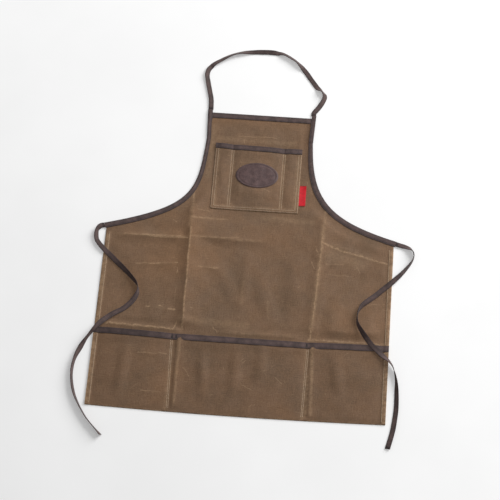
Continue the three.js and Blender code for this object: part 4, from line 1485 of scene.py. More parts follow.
@dataclass
class ChestPocket:
    """The canvas pocket on the bib, with a wide middle and a pen slot on each side."""

    body: ApronBody
    centre_x: float = 0.0045
    half_width: float = 0.1096
    bottom_y: float = 0.549
    mouth_y: float = 0.736
    mouth_sag: float = 0.0030
    mouth_tilt: float = 0.022
    seam: float = 0.006
    divider: float = 0.065
    heights: tuple[float, float, float] = (0.0016, 0.0046, 0.0016)
    climb: float = 0.070
    band: float = 0.0155
    turned_edge: float = 0.0095
    turned_step: float = 0.0005
    seam_half: float = 0.0026
    relief: Relief = Relief(
        CHEST_CREASES, CHEST_ROLLS, (Ripple(41, 0.0006, 0.030, 0.090), Ripple(43, 0.0002, 0.012, 0.030)))

    GRID_STEP = 0.0025
    EDGE_COLUMNS = (0.0, 0.0006)
    FIRST_COLUMN = 0.0013
    EDGE_ROUND = (-0.0002, 0.0012)
    EDGE_THIN = 0.45
    EDGE_RUB = 0.65
    EDGE_RUB_REACH = 0.0030
    TURN_EASE = 0.001
    SEAM_HOLD = (0.004, 0.016)
    SEAM_RUB = 0.35
    SEAM_RUB_REACH = (0.001, 0.007)
    OUTER_SEAM_IN = 0.0020
    INNER_SEAM_BACK = 0.0015

    @cached_property
    def compartments(self) -> tuple[Compartment, ...]:
        """The pen slots and the middle, from left to right."""
        inner = self.half_width - self.seam
        ends = [self.centre_x + x for x in (-inner, -self.divider, self.divider, inner)]
        return tuple(Compartment(a, b, high) for a, b, high in zip(ends, ends[1:], self.heights))

    def mouth(self, x: Array) -> Array:
        """Give where the mouth lies at each place across, lower in the middle and to the right."""
        out = (x - self.centre_x) / self.half_width
        return self.mouth_y - self.mouth_sag * (1 - out**2) - self.mouth_tilt * x

    def from_edge(self, x: Array, y: Array) -> Array:
        """Give the distance in from the pocket's sides and bottom."""
        return np.minimum(self.half_width - np.abs(x - self.centre_x), y - self.bottom_y)

    def bottom(self, x: Array, y: Array) -> Array:
        """Give the height of the pocket's inside."""
        puff = sum(part.puff(x) for part in self.compartments)
        out = np.abs(x - self.centre_x)
        near = np.min([np.abs(out - seam) for seam in (self.divider, self.half_width)], axis=0)
        slack = self.relief.rise(x, y) * smoothstep(np.minimum(near, y - self.bottom_y), *self.SEAM_HOLD)
        climb = eased(y - self.bottom_y - self.seam, self.climb)
        return self.body.top(x, y) + GAP + puff * climb + mouth_lift(self.mouth(x) - y) + slack

    def head(self, x: float) -> float:
        """Give where a row of stitches at x ends below the binding."""
        return float(self.mouth(np.array(x))) - self.band

    def top(self, x: Array, y: Array) -> Array:
        """Give the height of the pocket's face, thicker where its edges are turned."""
        near = self.from_edge(x, y)
        turned = 1 - smoothstep(near, self.turned_edge, self.turned_edge + self.TURN_EASE)
        full = self.EDGE_THIN + (1 - self.EDGE_THIN) * smoothstep(near, *self.EDGE_ROUND)
        return self.bottom(x, y) + (CLOTH + self.turned_step * turned) * full

    def build(self, finishes: Finishes) -> None:
        """Make the pocket and its stitches.

        Args:
            finishes: the apron's materials.
        """
        edge, first = np.array(self.EDGE_COLUMNS), self.FIRST_COLUMN
        wide = 2 * self.half_width
        across = np.linspace(first, wide - first, round(wide / self.GRID_STEP))
        across = np.concatenate([edge, across, wide - edge[::-1]])
        tall = self.mouth_y - self.bottom_y
        up = np.concatenate([edge, np.linspace(first, tall, round(tall / self.GRID_STEP))])
        level, x = np.meshgrid(up, self.centre_x - self.half_width + across, indexing="ij")
        y = self.bottom_y + level / tall * (self.mouth(x) - self.bottom_y)
        near = self.from_edge(x, y)
        rub = self.relief.rub(x, y) + self.EDGE_RUB * (1 - smoothstep(near, 0.0, self.EDGE_RUB_REACH))
        seams = np.abs(np.abs(x - self.centre_x) - self.divider)
        seams = np.minimum(seams, np.abs(near - self.turned_edge))
        rub = rub + self.SEAM_RUB * (1 - smoothstep(seams, *self.SEAM_RUB_REACH))
        rub = np.clip(rub, 0.0, 1.0)
        top = np.stack([x, y, self.top(x, y)], -1)
        bottom = np.stack([x, y, self.bottom(x, y)], -1)
        cloth = closed_sheet("chest_pocket_cloth", top, bottom, {"rub": rub})
        dress(cloth, finishes.chest_canvas, Slot.CANVAS, "chest_pocket")
        rows = []
        for inset in (self.OUTER_SEAM_IN, self.turned_edge - self.INNER_SEAM_BACK):
            left, right = self.centre_x - self.half_width + inset, self.centre_x + self.half_width - inset
            foot = self.bottom_y + inset
            rows.append(laid_row((left, foot), (left, self.head(left)), self.top))
            rows.append(laid_row((right, foot), (right, self.head(right)), self.top))
            rows.append(laid_row((left, foot), (right, foot), self.top))
        for seam in (-self.divider, self.divider):
            for shift in (-self.seam_half, self.seam_half):
                line = self.centre_x + seam + shift
                foot = self.bottom_y + self.turned_edge
                rows.append(laid_row((line, foot), (line, self.head(line)), self.top))
        stitches = dress(SEAM.sew("chest_pocket_stitches", rows), finishes.tan_thread, Slot.CANVAS)
        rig.sheet(cloth, flat=(wide, tall), held="laid", rests_on=["apron_body"], with_pieces=[stitches])


Pocket = LowerPocket | ChestPocket


# Leather and ribbon


@dataclass
class LeatherPatch:
    """The oval patch on the chest pocket, with a plain pressed border and a bare middle."""

    pocket: ChestPocket
    centre: tuple[float, float] = (0.005, 0.649)
    half_width: float = 0.0535
    half_height: float = 0.036
    thickness: float = 0.0013
    edge: float = 0.0007
    gap: float = 0.0005
    border_share: float = 0.86
    border_half: float = 0.022
    border_depth: float = 0.00040
    seam_share: float = 0.945

    SIDES = 128
    RINGS = 44
    FIRST_RING = 0.02
    SKIVED = 0.05
    BORDER_TONE = 0.75
    # Painted shade at the patch's rim
    RIM_PAINTED_SHADE = 0.6
    RIM = (0.95, 0.98)
    SEAM_SAMPLES = 361

    def spot(self, share: Array, angle: Array) -> tuple[Array, Array]:
        """Give places on the oval at a share of its size."""
        x = self.centre[0] + share * self.half_width * np.cos(angle)
        return x, self.centre[1] + share * self.half_height * np.sin(angle)

    def pressed(self, share: Array) -> Array:
        """Give 1 in the pressed border line and 0 beside it."""
        return np.exp(-(((share - self.border_share) / self.border_half) ** 2))

    def height(self, share: Array) -> Array:
        """Give the leather's thickness from its middle to its thin edge."""
        skived = smoothstep(1 - share, 0.0, self.SKIVED)
        body = self.edge + (self.thickness - self.edge) * skived
        return body - self.border_depth * self.pressed(share)

    def base(self, x: Array, y: Array) -> Array:
        """Give the height that the leather lies on."""
        return self.pocket.top(x, y) + self.gap

    def build(self, finishes: Finishes) -> None:
        """Make the patch and the thread round its edge.

        Args:
            finishes: the apron's materials.
        """
        shares = np.linspace(self.FIRST_RING, 1.0, self.RINGS)
        angle, share = np.meshgrid(2 * math.pi * np.arange(self.SIDES) / self.SIDES, shares)
        x, y = self.spot(share, angle)
        base = self.base(x, y)
        over = np.stack([x, y, base + self.height(share)], -1)
        under = np.stack([x, y, base], -1)
        index = np.arange(share.size).reshape(share.shape)
        near, far = index[:-1], index[1:]
        face = np.stack([near, far, np.roll(far, -1, 1), np.roll(near, -1, 1)], axis=-1).reshape(-1, 4)
        rim, after = index[-1], np.roll(index[-1], -1)
        rim = np.stack([rim + index.size, after + index.size, after, rim], axis=-1)
        faces = face.tolist() + (face[:, ::-1] + index.size).tolist() + rim.tolist()
        faces += [index[0].tolist(), (index[0, ::-1] + index.size).tolist()]
        # The pressed border line, and painted shade darkening the rim
        pressed = self.BORDER_TONE * self.pressed(share) + self.RIM_PAINTED_SHADE * smoothstep(share, *self.RIM)
        pressed = np.clip(pressed, 0.0, 1.0)
        patch = make_piece(
            "leather_patch_face", np.concatenate([over.reshape(-1, 3), under.reshape(-1, 3)]), faces,
            {"pressed": np.tile(pressed.ravel(), 2)})
        dress(patch, finishes.leather, Slot.LEATHER, "leather_patch")
        turn = np.linspace(0.0, 2 * math.pi, self.SEAM_SAMPLES)
        x, y = self.spot(np.full_like(turn, self.seam_share), turn)
        z = self.base(x, y) + self.height(np.full_like(turn, self.seam_share))
        row = (np.stack([x, y, z], axis=1), upright(len(turn)))
        stitches = FINE_SEAM.sew("leather_patch_stitches", [row])
        dress(stitches, finishes.dark_thread, Slot.LEATHER)


@dataclass
class SideTag:
    """The folded red ribbon in the chest pocket's right seam."""

    body: ApronBody
    seam_x: float = 0.1144
    out: float = 0.0165
    low_y: float = 0.5715
    high_y: float = 0.6295
    ribbon: float = 0.00038
    spread: float = 0.00042
    tip_lift: float = 0.0012
    curl: float = 0.0004

    ROWS = 40
    FOLD_STEPS = 9
    FLAT_STEPS = 12
    FOLD_IN = 0.0008
    LEAN = 0.35
    LEAN_PITCH = 0.045
    CURL_TURN = 180.0

    def build(self, finishes: Finishes) -> None:
        """Make the ribbon, doubled over at its outer edge.

        Args:
            finishes: the apron's materials.
        """
        turn = np.linspace(-math.pi / 2, math.pi / 2, self.FOLD_STEPS)
        bend = self.out - self.FOLD_IN
        reach = np.linspace(0.0, bend, self.FLAT_STEPS)
        loop = []
        for radius in (self.spread + self.ribbon / 2, self.spread - self.ribbon / 2):
            fold = np.stack([bend + radius * np.cos(turn), radius * np.sin(turn)], axis=1)
            under = np.stack([reach, np.full_like(reach, -radius)], axis=1)[:-1]
            over = np.stack([reach[::-1], np.full_like(reach, radius)], axis=1)[1:]
            loop.append(np.vstack([under, fold, over]))
        section = np.vstack([loop[0], loop[1][::-1]])
        y = np.linspace(self.low_y, self.high_y, self.ROWS)
        out, height = section.T
        x = np.tile(self.seam_x + out, (self.ROWS, 1))
        rows = np.tile(y[:, None], (1, len(section)))
        share = np.clip(out / self.out, 0.0, 1.0)
        lean = 1.0 + self.LEAN * np.sin(2 * math.pi * (rows - self.low_y) / self.LEAN_PITCH)
        rest = self.body.top(np.minimum(x, self.seam_x + self.out), rows) + GAP + self.spread + self.ribbon
        curl = self.curl * np.sin(rows * self.CURL_TURN) * share
        z = rest + self.tip_lift * share**2 * lean + curl + height
        across = (y - self.low_y) / (self.high_y - self.low_y)
        rings = np.stack([x, rows, z], axis=-1)
        tag = swept("side_tag_ribbon", rings, {"along": out}, {"across": across})
        dress(tag, finishes.ribbon, Slot.TAG, "side_tag")


# Tape


@dataclass(frozen=True)
class Pinch:
    """A place where a seam pulls a binding down: at a distance along it, by depth over half_width."""

    along: float
    depth: float
    half_width: float


@dataclass
class FoldedTape:
    """Tape folded over a cloth edge, thinnest at its stitched inner margin."""

    fold_round: float = 0.0013
    stitch_in: float = 0.0022
    groove: float = 0.00022
    crown: float = 0.00012
    waver: float = 0.00012
    wobble: float = 0.007
    under_in: float = 0.0

    STATION_STEP = 0.0030
    UNDER_STEPS = 6
    FOLD_STEPS = 7
    FOLD_TURN = 72.0
    FOLD_POWER = 0.8
    FACE_STEPS = 22
    LIP_IN = 0.0004
    LIP_SINK = 0.35
    GROOVE_HALF = 0.0007
    WAVER_TURNS = (410.0, 173.0)
    WOBBLE_TURNS = (130.0, 57.0)

    def section(self, bottom: Array, top: Array, dip: Array, width: Array) -> Row:
        """Give the folded section at every station.

        Args:
            bottom: height of the cloth's back at each station.
            top: height of the cloth's face.
            dip: how far a seam pulls the outer face down.
            width: how much of the tape shows at each station.

        Returns:
            Distances in from the cloth's edge and heights, one row for each station.
        """
        outer = -GAP - TAPE
        inner = outer + width
        low, high = bottom - GAP - TAPE, top + GAP + TAPE
        middle, half = (low + high) / 2, (high - low) / 2
        round_end = outer + self.fold_round
        under = inner - self.under_in
        shares = np.linspace(1.0, 0.0, self.UNDER_STEPS)
        shape = [(round_end + share * (under - round_end), low) for share in shares]
        for turn in np.radians(np.linspace(-self.FOLD_TURN, self.FOLD_TURN, self.FOLD_STEPS)):
            out = outer + self.fold_round * (1 - math.cos(turn) ** self.FOLD_POWER)
            shape.append((np.full_like(width, out), middle + half * math.sin(turn)))
        stitch = inner - self.stitch_in
        for share in np.linspace(0.0, 1.0, self.FACE_STEPS):
            place = round_end + share * (inner - self.LIP_IN - round_end)
            crown = self.crown * np.sin(math.pi * np.clip((place - outer) / (stitch - outer), 0.0, 1.0))
            groove = self.groove * np.exp(-(((place - stitch) / self.GROOVE_HALF) ** 2))
            shape.append((place, high + crown - groove - dip))
        edge = np.full_like(width, -GAP)
        shape += [(inner, high - self.LIP_SINK * TAPE - dip), (inner, top + GAP), (edge, top + GAP)]
        shape += [(edge, bottom - GAP), (under, bottom - GAP)]
        ins, heights = zip(*shape)
        return np.stack(ins, axis=1), np.stack(heights, axis=1)

    def build(
        self, name: str, edge: Array, inward: Array, heights: Row, width: Array, pinches: Sequence[Pinch]
    ) -> tuple[Piece, Row]:
        """Fold the tape along an edge.

        Args:
            name: the piece's name.
            edge: places along the cloth's edge.
            inward: the way in from the edge at each place.
            heights: heights of the cloth's back and face there.
            width: how much of the tape shows there.
            pinches: seams that cross the tape.

        Returns:
            The tape, and the row that its stitches follow.
        """
        bottom, top = heights
        gaps = np.linalg.norm(np.diff(edge, axis=0), axis=1)
        along = np.concatenate([[0.0], np.cumsum(gaps)])
        quick, slow = self.WAVER_TURNS
        dip = self.waver * (np.sin(along * quick) + np.sin(along * slow + 1.0))
        for pinch in pinches:
            dip = dip + pinch.depth * np.exp(-(((along - pinch.along) / pinch.half_width) ** 2))
        quick, slow = self.WOBBLE_TURNS
        width = width * (1 + self.wobble * (np.sin(along * quick) + np.sin(along * slow + 2.0)))
        ins, levels = self.section(bottom, top, dip, width)
        flat = edge[:, None, :] + inward[:, None, :] * ins[:, :, None]
        rings = np.concatenate([flat, levels[:, :, None]], axis=2)
        across = np.clip((ins[0] + GAP + TAPE) / width[0], 0.0, 1.0)
        tape = swept(name, rings, {"across": across}, {"along": along})
        seam = edge + inward * (width - GAP - TAPE - self.stitch_in)[:, None]
        line = np.column_stack([seam, top + GAP + TAPE - dip])
        return tape, (line, upright(len(line)))


@dataclass
class Bindings:
    """Every folded binding of the apron."""

    body: ApronBody
    lower: LowerPocket
    chest: ChestPocket
    tape: FoldedTape = field(default_factory=FoldedTape)
    round_tape: FoldedTape = field(default_factory=lambda: FoldedTape(crown=0.0007, under_in=0.0030))
    bib_band: float = 0.016
    waist_band: float = 0.0155
    narrow_bands: tuple[float, float] = (0.0106, 0.0112)
    narrow_starts: tuple[float, float] = (0.490, 0.600)
    narrow_ends: tuple[float, float] = (0.700, 0.762)
    corner_flares: tuple[float, float] = (0.0020, 0.0)
    flare_rise: tuple[float, float] = (0.799, 0.815)
    bib_tuck: float = 0.0025
    past_waist: float = 0.0065
    past_bib: float = 0.009
    tuck_y: float = 0.757
    tuck_ease: float = 0.003
    tuck_out: float = 0.0008
    tuck_lift: float = 0.0012
    tacks: tuple[float, ...] = (-0.1650, -0.1555, 0.1590)
    tack_half: float = 0.0016
    tack_sink: float = 0.0004
    tack_insets: tuple[float, float] = (0.0005, 0.0035)
    lower_pinches: tuple[float, ...] = (-0.1665, -0.1555, -0.1445, 0.1575, 0.1640)
    lower_pinch: tuple[float, float] = (0.00065, 0.0016)
    chest_pinch: tuple[float, float] = (0.0005, 0.0016)
    chest_end_pinch_in: float = 0.0100
    bib_ripple: tuple[float, float] = (0.00035, 0.0035)
    bib_ripple_start: float = 0.150
    bib_ripple_step: float = 0.021

    TACK_THREADS = 5
    TACK_SAMPLES = 12
    BIB_RIPPLES = 5
    BIB_STATIONS = 90
    CHEST_STATIONS = 110

    def tack(self, finishes: Finishes) -> None:
        """Sew short dark bars across the lower binding at the dividers.

        Args:
            finishes: the apron's materials.
        """
        rows = []
        head, foot = self.tack_insets
        below = np.linspace(head, self.lower.band - foot, self.TACK_SAMPLES)
        for x in self.tacks:
            for shift in np.linspace(-self.tack_half, self.tack_half, self.TACK_THREADS):
                flat = np.full_like(below, x + shift)
                y = self.lower.mouth(flat) - below
                level = self.lower.bottom(flat, self.lower.mouth(flat))
                line = np.column_stack([flat, y, level + CLOTH + GAP + TAPE - self.tack_sink])
                rows.append((line, upright(len(y))))
        dress(BARTACK.sew("lower_pocket_bartacks", rows), finishes.black_thread, Slot.TAPE)

    def dress_tape(self, tape: Piece, row: Row, finishes: Finishes, node: str) -> None:
        """Finish one binding and sew its inner margin."""
        finish = finishes.lower_tape if node == "lower_pocket_binding" else finishes.tape
        dress(tape, finish, Slot.TAPE, node)
        dress(FINE_SEAM.sew(f"{node}_stitches", [row]), finishes.dark_thread, Slot.TAPE)

    def mouth(
        self, pocket: Pocket, x: Array, pinches: Sequence[Pinch], node: str, finishes: Finishes
    ) -> None:
        """Bind a pocket's mouth.

        Args:
            pocket: the pocket.
            x: places along its mouth.
            pinches: seams that cross the binding.
            node: the solid that the binding stands for.
            finishes: the apron's materials.
        """
        y = pocket.mouth(x)
        low = pocket.bottom(x, y)
        inward = np.tile((0.0, -1.0), (len(x), 1))
        width = np.full_like(x, pocket.band)
        edge = np.column_stack([x, y])
        tape, row = self.tape.build(f"{node}_tape", edge, inward, (low, low + CLOTH), width, pinches)
        self.dress_tape(tape, row, finishes, node)

    def armhole(self, side: Side, finishes: Finishes) -> None:
        """Bind one armhole from below the waist corner to above the bib.

        Args:
            side: which armhole.
            finishes: the apron's materials.
        """
        edge = self.body.edge(side)
        first = edge[0] + (edge[0] - edge[1]) / np.linalg.norm(edge[0] - edge[1]) * self.past_waist
        last = edge[-1] + (edge[-1] - edge[-2]) / np.linalg.norm(edge[-1] - edge[-2]) * self.past_bib
        line = np.vstack([first, edge, last])
        line = resample(np.column_stack([line, np.zeros(len(line))]), self.tape.STATION_STEP)[:, :2]
        ahead = np.gradient(line, axis=0)
        ahead /= np.linalg.norm(ahead, axis=1, keepdims=True)
        inward = side.value * np.column_stack([-ahead[:, 1], ahead[:, 0]])
        tuck = smoothstep(line[:, 1], self.tuck_y, self.tuck_y + self.tuck_ease)
        line = line - inward * (self.tuck_out * tuck)[:, None]
        low = np.full(len(line), EDGE_LIFT)
        which = list(Side).index(side)
        narrow = smoothstep(line[:, 1], self.narrow_starts[which], self.narrow_ends[which])
        width = self.waist_band + (self.narrow_bands[which] - self.waist_band) * narrow
        width = width + self.corner_flares[which] * smoothstep(line[:, 1], *self.flare_rise)
        heights = (low, low + CLOTH + self.tuck_lift * tuck)
        name = f"{side.name.lower()}_armhole"
        tape, row = self.round_tape.build(f"{name}_tape", line, inward, heights, width, ())
        self.dress_tape(tape, row, finishes, f"{name}_binding")

    def bib(self, finishes: Finishes) -> None:
        """Bind the bib's top between the armhole bindings.

        Args:
            finishes: the apron's materials.
        """
        box_low, box_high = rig.box("bib_binding")
        x = np.linspace(box_low.x - self.bib_tuck, box_high.x + self.bib_tuck, self.BIB_STATIONS)
        y = np.full_like(x, BIB_TOP_Y)
        low = np.full_like(x, EDGE_LIFT)
        inward = np.tile((0.0, -1.0), (len(x), 1))
        ripples = [
            Pinch(self.bib_ripple_start + self.bib_ripple_step * n, *self.bib_ripple)
            for n in range(self.BIB_RIPPLES)
        ]
        width = np.full_like(x, self.bib_band)
        edge = np.column_stack([x, y])
        tape, row = self.tape.build("bib_tape", edge, inward, (low, low + CLOTH), width, ripples)
        self.dress_tape(tape, row, finishes, "bib_binding")

    def build(self, finishes: Finishes) -> None:
        """Make all the bindings and their stitches.

        Args:
            finishes: the apron's materials.
        """
        half = self.body.half_width
        x = np.linspace(-half, half, round(2 * half / self.tape.STATION_STEP))
        pinches = [Pinch(place + half, *self.lower_pinch) for place in self.lower_pinches]
        self.mouth(self.lower, x, pinches, "lower_pocket_binding", finishes)
        self.tack(finishes)
        half = self.chest.half_width
        start = self.chest.centre_x - half
        x = np.linspace(start, start + 2 * half, self.CHEST_STATIONS)
        places = (-self.chest.divider, self.chest.divider, half - self.chest_end_pinch_in)
        pinches = [Pinch(half + place, *self.chest_pinch) for place in places]
        self.mouth(self.chest, x, pinches, "chest_pocket_binding", finishes)
        for side in Side:
            self.armhole(side, finishes)
        self.bib(finishes)


# Columns: x, y, height of what lies under the tape, roll from flat in degrees
LEFT_TIE_ROUTE = (
    (-0.3603, 0.483, 0.0011, 0),
    (-0.368, 0.480, 0.0008, 20),
    (-0.376, 0.470, 0.0003, 56),
    (-0.378, 0.454, 0.0, 36),
    (-0.375, 0.440, 0.0008, 22),
    (-0.367, 0.428, 0.0024, 12),
    (-0.354, 0.414, 0.0036, 2),
    (-0.336, 0.397, 0.0034, -12),
    (-0.317, 0.379, 0.0022, -24),
    (-0.298, 0.361, 0.0020, -38),
    (-0.279, 0.341, 0.0018, -58),
    (-0.266, 0.326, 0.0018, -76),
    (-0.260, 0.313, 0.0018, -98),
    (-0.260, 0.299, 0.0018, -122),
    (-0.268, 0.281, 0.0018, -158),
    (-0.280, 0.265, 0.0018, -172),
    (-0.294, 0.252, 0.0018, -174),
    (-0.309, 0.242, 0.0024, -172),
    (-0.324, 0.230, 0.0034, -168),
    (-0.339, 0.214, 0.0066, -154),
    (-0.353, 0.194, 0.0074, -118),
    (-0.368, 0.170, 0.0050, -102),
    (-0.382, 0.144, 0.0010, -140),
    (-0.391, 0.118, 0.0, -114),
    (-0.395, 0.091, 0.0, -112),
    (-0.394, 0.067, 0.0, -112),
    (-0.389, 0.041, 0.0, -118),
    (-0.381, 0.018, 0.0, -116),
    (-0.366, -0.010, 0.0, -108),
    (-0.347, -0.038, 0.0, -106),
    (-0.325, -0.062, 0.0, -108),
    (-0.309, -0.078, 0.0, -122),
)
RIGHT_TIE_ROUTE = (
    (0.3603, 0.483, 0.0011, 0),
    (0.369, 0.4805, 0.0009, 5),
    (0.381, 0.4775, 0.0003, 10),
    (0.394, 0.472, 0.0, 32),
    (0.403, 0.463, 0.0, 78),
    (0.406, 0.450, 0.0, 88),
    (0.402, 0.436, 0.0, 84),
    (0.392, 0.419, 0.0005, 72),
    (0.377, 0.398, 0.0022, 56),
    (0.363, 0.382, 0.0034, 36),
    (0.350, 0.368, 0.0036, 24),
    (0.334, 0.353, 0.0030, 14),
    (0.319, 0.338, 0.0022, 14),
    (0.301, 0.321, 0.0018, 30),
    (0.288, 0.308, 0.0018, 48),
    (0.279, 0.293, 0.0018, 74),
    (0.275, 0.275, 0.0018, 94),
    (0.277, 0.255, 0.0022, 108),
    (0.287, 0.235, 0.0055, 128),
    (0.300, 0.215, 0.0104, 150),
    (0.313, 0.199, 0.0108, 166),
    (0.328, 0.186, 0.0092, 178),
    (0.342, 0.173, 0.0070, 194),
    (0.354, 0.163, 0.0054, 222),
    (0.365, 0.150, 0.0026, 246),
    (0.371, 0.135, 0.0003, 266),
    (0.376, 0.111, 0.0, 292),
    (0.378, 0.087, 0.0, 316),
    (0.379, 0.062, 0.0, 326),
    (0.379, 0.037, 0.0, 333),
    (0.377, 0.013, 0.0, 338),
    (0.374, -0.012, 0.0, 342),
    (0.369, -0.037, 0.0, 345),
    (0.363, -0.062, 0.0, 348),
)
NECK_STRAP_ROUTE = (
    (-0.1269, 0.8385, 0.0011, 0),
    (-0.1274, 0.852, 0.0005, -6),
    (-0.129, 0.870, 0.0, -10),
    (-0.135, 0.896, 0.0, -12),
    (-0.141, 0.921, 0.0, -14),
    (-0.145, 0.942, 0.0, -24),
    (-0.142, 0.960, 0.0, -16),
    (-0.131, 0.976, 0.0, 16),
    (-0.114, 0.989, 0.0, 24),
    (-0.090, 1.005, 0.0, 38),
    (-0.069, 1.014, 0.0, 38),
    (-0.038, 1.021, 0.0, 4),
    (-0.006, 1.023, 0.0, -16),
    (0.026, 1.023, 0.0, -14),
    (0.047, 1.020, 0.0, 32),
    (0.069, 1.008, 0.0, 38),
    (0.086, 0.995, 0.0, 44),
    (0.106, 0.973, 0.0, 0),
    (0.123, 0.949, 0.0, 0),
    (0.141, 0.924, 0.0, 2),
    (0.154, 0.911, 0.0, 56),
    (0.161, 0.900, 0.0, 30),
    (0.159, 0.887, 0.0, 28),
    (0.150, 0.868, 0.0, 15),
    (0.141, 0.854, 0.0004, 8),
    (0.1368, 0.847, 0.0009, 2),
    (0.1359, 0.8385, 0.0011, 0),
)


@dataclass
class FlatTape:
    """A length of doubled tape that lies loose along a route."""

    name: str
    route: tuple[tuple[float, float, float, float], ...]
    node: str
    width: float = TAPE_WIDTH
    thickness: float = 0.0016
    clear: float = 0.0006
    stitch_in: float = 0.0022

    STEP = 0.0014
    SPREAD = 14
    PROBES = 9
    FACE_STEPS = 13
    FACE_IN = 0.0006
    FOLD_IN = 0.0008
    FOLD_TURNS = (50, 0, -50)
    CROWN = 0.10
    LIPS = ((0.0, 0.6), (0.0001, 0.2), (0.0012, 0.0))
    STITCH_OUT = 0.48
    TACK_ROWS = 4
    TACK_REACH = 0.40
    TACK_SAMPLES = 9

    def section(self) -> Array:
        """Give the doubled tape's section: a fold on one edge and two lips on the other."""
        half, thick = self.width / 2, self.thickness / 2
        flat = np.linspace(half - self.FACE_IN, -half + self.FOLD_IN, self.FACE_STEPS)
        edge = 1 - self.CROWN
        over = [(x, thick * (edge + self.CROWN * math.cos(math.pi * x / self.width))) for x in flat]
        turns = np.radians(self.FOLD_TURNS)
        fold = [(-half + self.FOLD_IN * (1 - math.cos(t)), thick * edge * math.sin(t)) for t in turns]
        under = [(x, -height) for x, height in reversed(over)]
        lips = [(half - back, -share * thick) for back, share in self.LIPS]
        lips += [(x, -height) for x, height in reversed(lips[:-1])]
        return np.array(over + fold + under + lips)

    def frames(self, surface: Height) -> tuple[Array, Array, Array]:
        """Lay the route on what is under it.

        Args:
            surface: height of the topmost cloth or tape at each place.

        Returns:
            The tape's middle, the way across it and the way up from its face.
        """
        x, y, under, roll = smooth_route(np.array(self.route, float), self.STEP).T
        ahead = np.gradient(np.column_stack([x, y]), axis=0)
        ahead /= np.linalg.norm(ahead, axis=1, keepdims=True)
        angle = np.radians(roll)
        across = np.column_stack([ahead[:, 1] * np.cos(angle), -ahead[:, 0] * np.cos(angle), np.sin(angle)])
        up = np.cross(across, np.column_stack([ahead, np.zeros(len(x))]))
        standing = self.width / 2 * np.abs(np.sin(angle)) + self.thickness / 2 * np.abs(np.cos(angle))
        middle = np.column_stack([x, y, np.maximum(under, 0.0) + standing])
        need = np.zeros(len(x))
        for share in np.linspace(-1.0, 1.0, self.PROBES):
            low = middle + share * self.width / 2 * across
            low = low - np.sign(up[:, 2:]) * self.thickness / 2 * up
            need = np.maximum(need, surface(low[:, 0], low[:, 1]) + self.clear - low[:, 2])
        reach = np.pad(need, self.SPREAD, mode="edge")
        raised = np.max([reach[i : i + len(need)] for i in range(2 * self.SPREAD + 1)], axis=0)
        reach = np.pad(raised, self.SPREAD, mode="edge")
        eased_lift = np.mean([reach[i : i + len(need)] for i in range(2 * self.SPREAD + 1)], axis=0)
        middle[:, 2] += eased_lift
        return middle, across, up

    def build(self, surface: Height, finishes: Finishes) -> tuple[list[Piece], Array]:
        """Make the tape, the stitches along its open edge and the bartacks at its ends.

        Args:
            surface: height of the topmost cloth or tape at each place.
            finishes: the apron's materials.

        Returns:
            The tape with its stitches, and its middle line.
        """
        middle, across, up = self.frames(surface)
        section = self.section()
        rings = middle[:, None] + across[:, None] * section[:, 0, None] + up[:, None] * section[:, 1, None]
        along = np.concatenate([[0.0], np.cumsum(np.linalg.norm(np.diff(middle, axis=0), axis=1))])
        share = np.clip(section[:, 0] / self.width + 0.5, 0.0, 1.0)
        tape = swept(self.name, rings, {"across": share}, {"along": along})
        dress(tape, finishes.tape, Slot.TAPE, self.node)
        seam = middle + across * (self.width / 2 - self.stitch_in)
        rows = [(seam + face * up * self.thickness * self.STITCH_OUT, face * up) for face in (1, -1)]
        stitches = dress(FINE_SEAM.sew(f"{self.name}_stitches", rows), finishes.dark_thread, Slot.TAPE)
        tacks = []
        spread = np.linspace(-self.TACK_REACH, self.TACK_REACH, self.TACK_SAMPLES)[:, None] * self.width
        for station in (*range(1, 1 + self.TACK_ROWS), *range(-1 - self.TACK_ROWS, -1)):
            line = middle[station] + spread * across[station]
            line = line + up[station] * self.thickness * self.STITCH_OUT
            tacks.append((line, np.tile(up[station], (len(line), 1))))
        bars = dress(BARTACK.sew(f"{self.name}_bartacks", tacks), finishes.black_thread, Slot.TAPE)
        return [tape, stitches, bars], middle


@dataclass
class WaistTies:
    """The two free ties from the waist corners."""

    left_length: float = 0.690
    right_length: float = 0.660

    def build(self, surface: Height, finishes: Finishes) -> None:
        """Args:
            surface: height of the topmost cloth or tape at each place.
            finishes: the apron's materials.
        """
        ties = (
            (FlatTape("left_waist_tie_tape", LEFT_TIE_ROUTE, "left_waist_tie"), self.left_length),
            (FlatTape("right_waist_tie_tape", RIGHT_TIE_ROUTE, "right_waist_tie"), self.right_length),
        )
        for tie, length in ties:
            pieces, middle = tie.build(surface, finishes)
            path = middle + (0.0, HEM_SHIFT, 0.0)
            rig.cord(
                pieces[0], exit=path[0], length=length, diameter=tie.width, far_end="bare", stiffness="limp",
                lay="loose", path=path, with_pieces=pieces[1:])


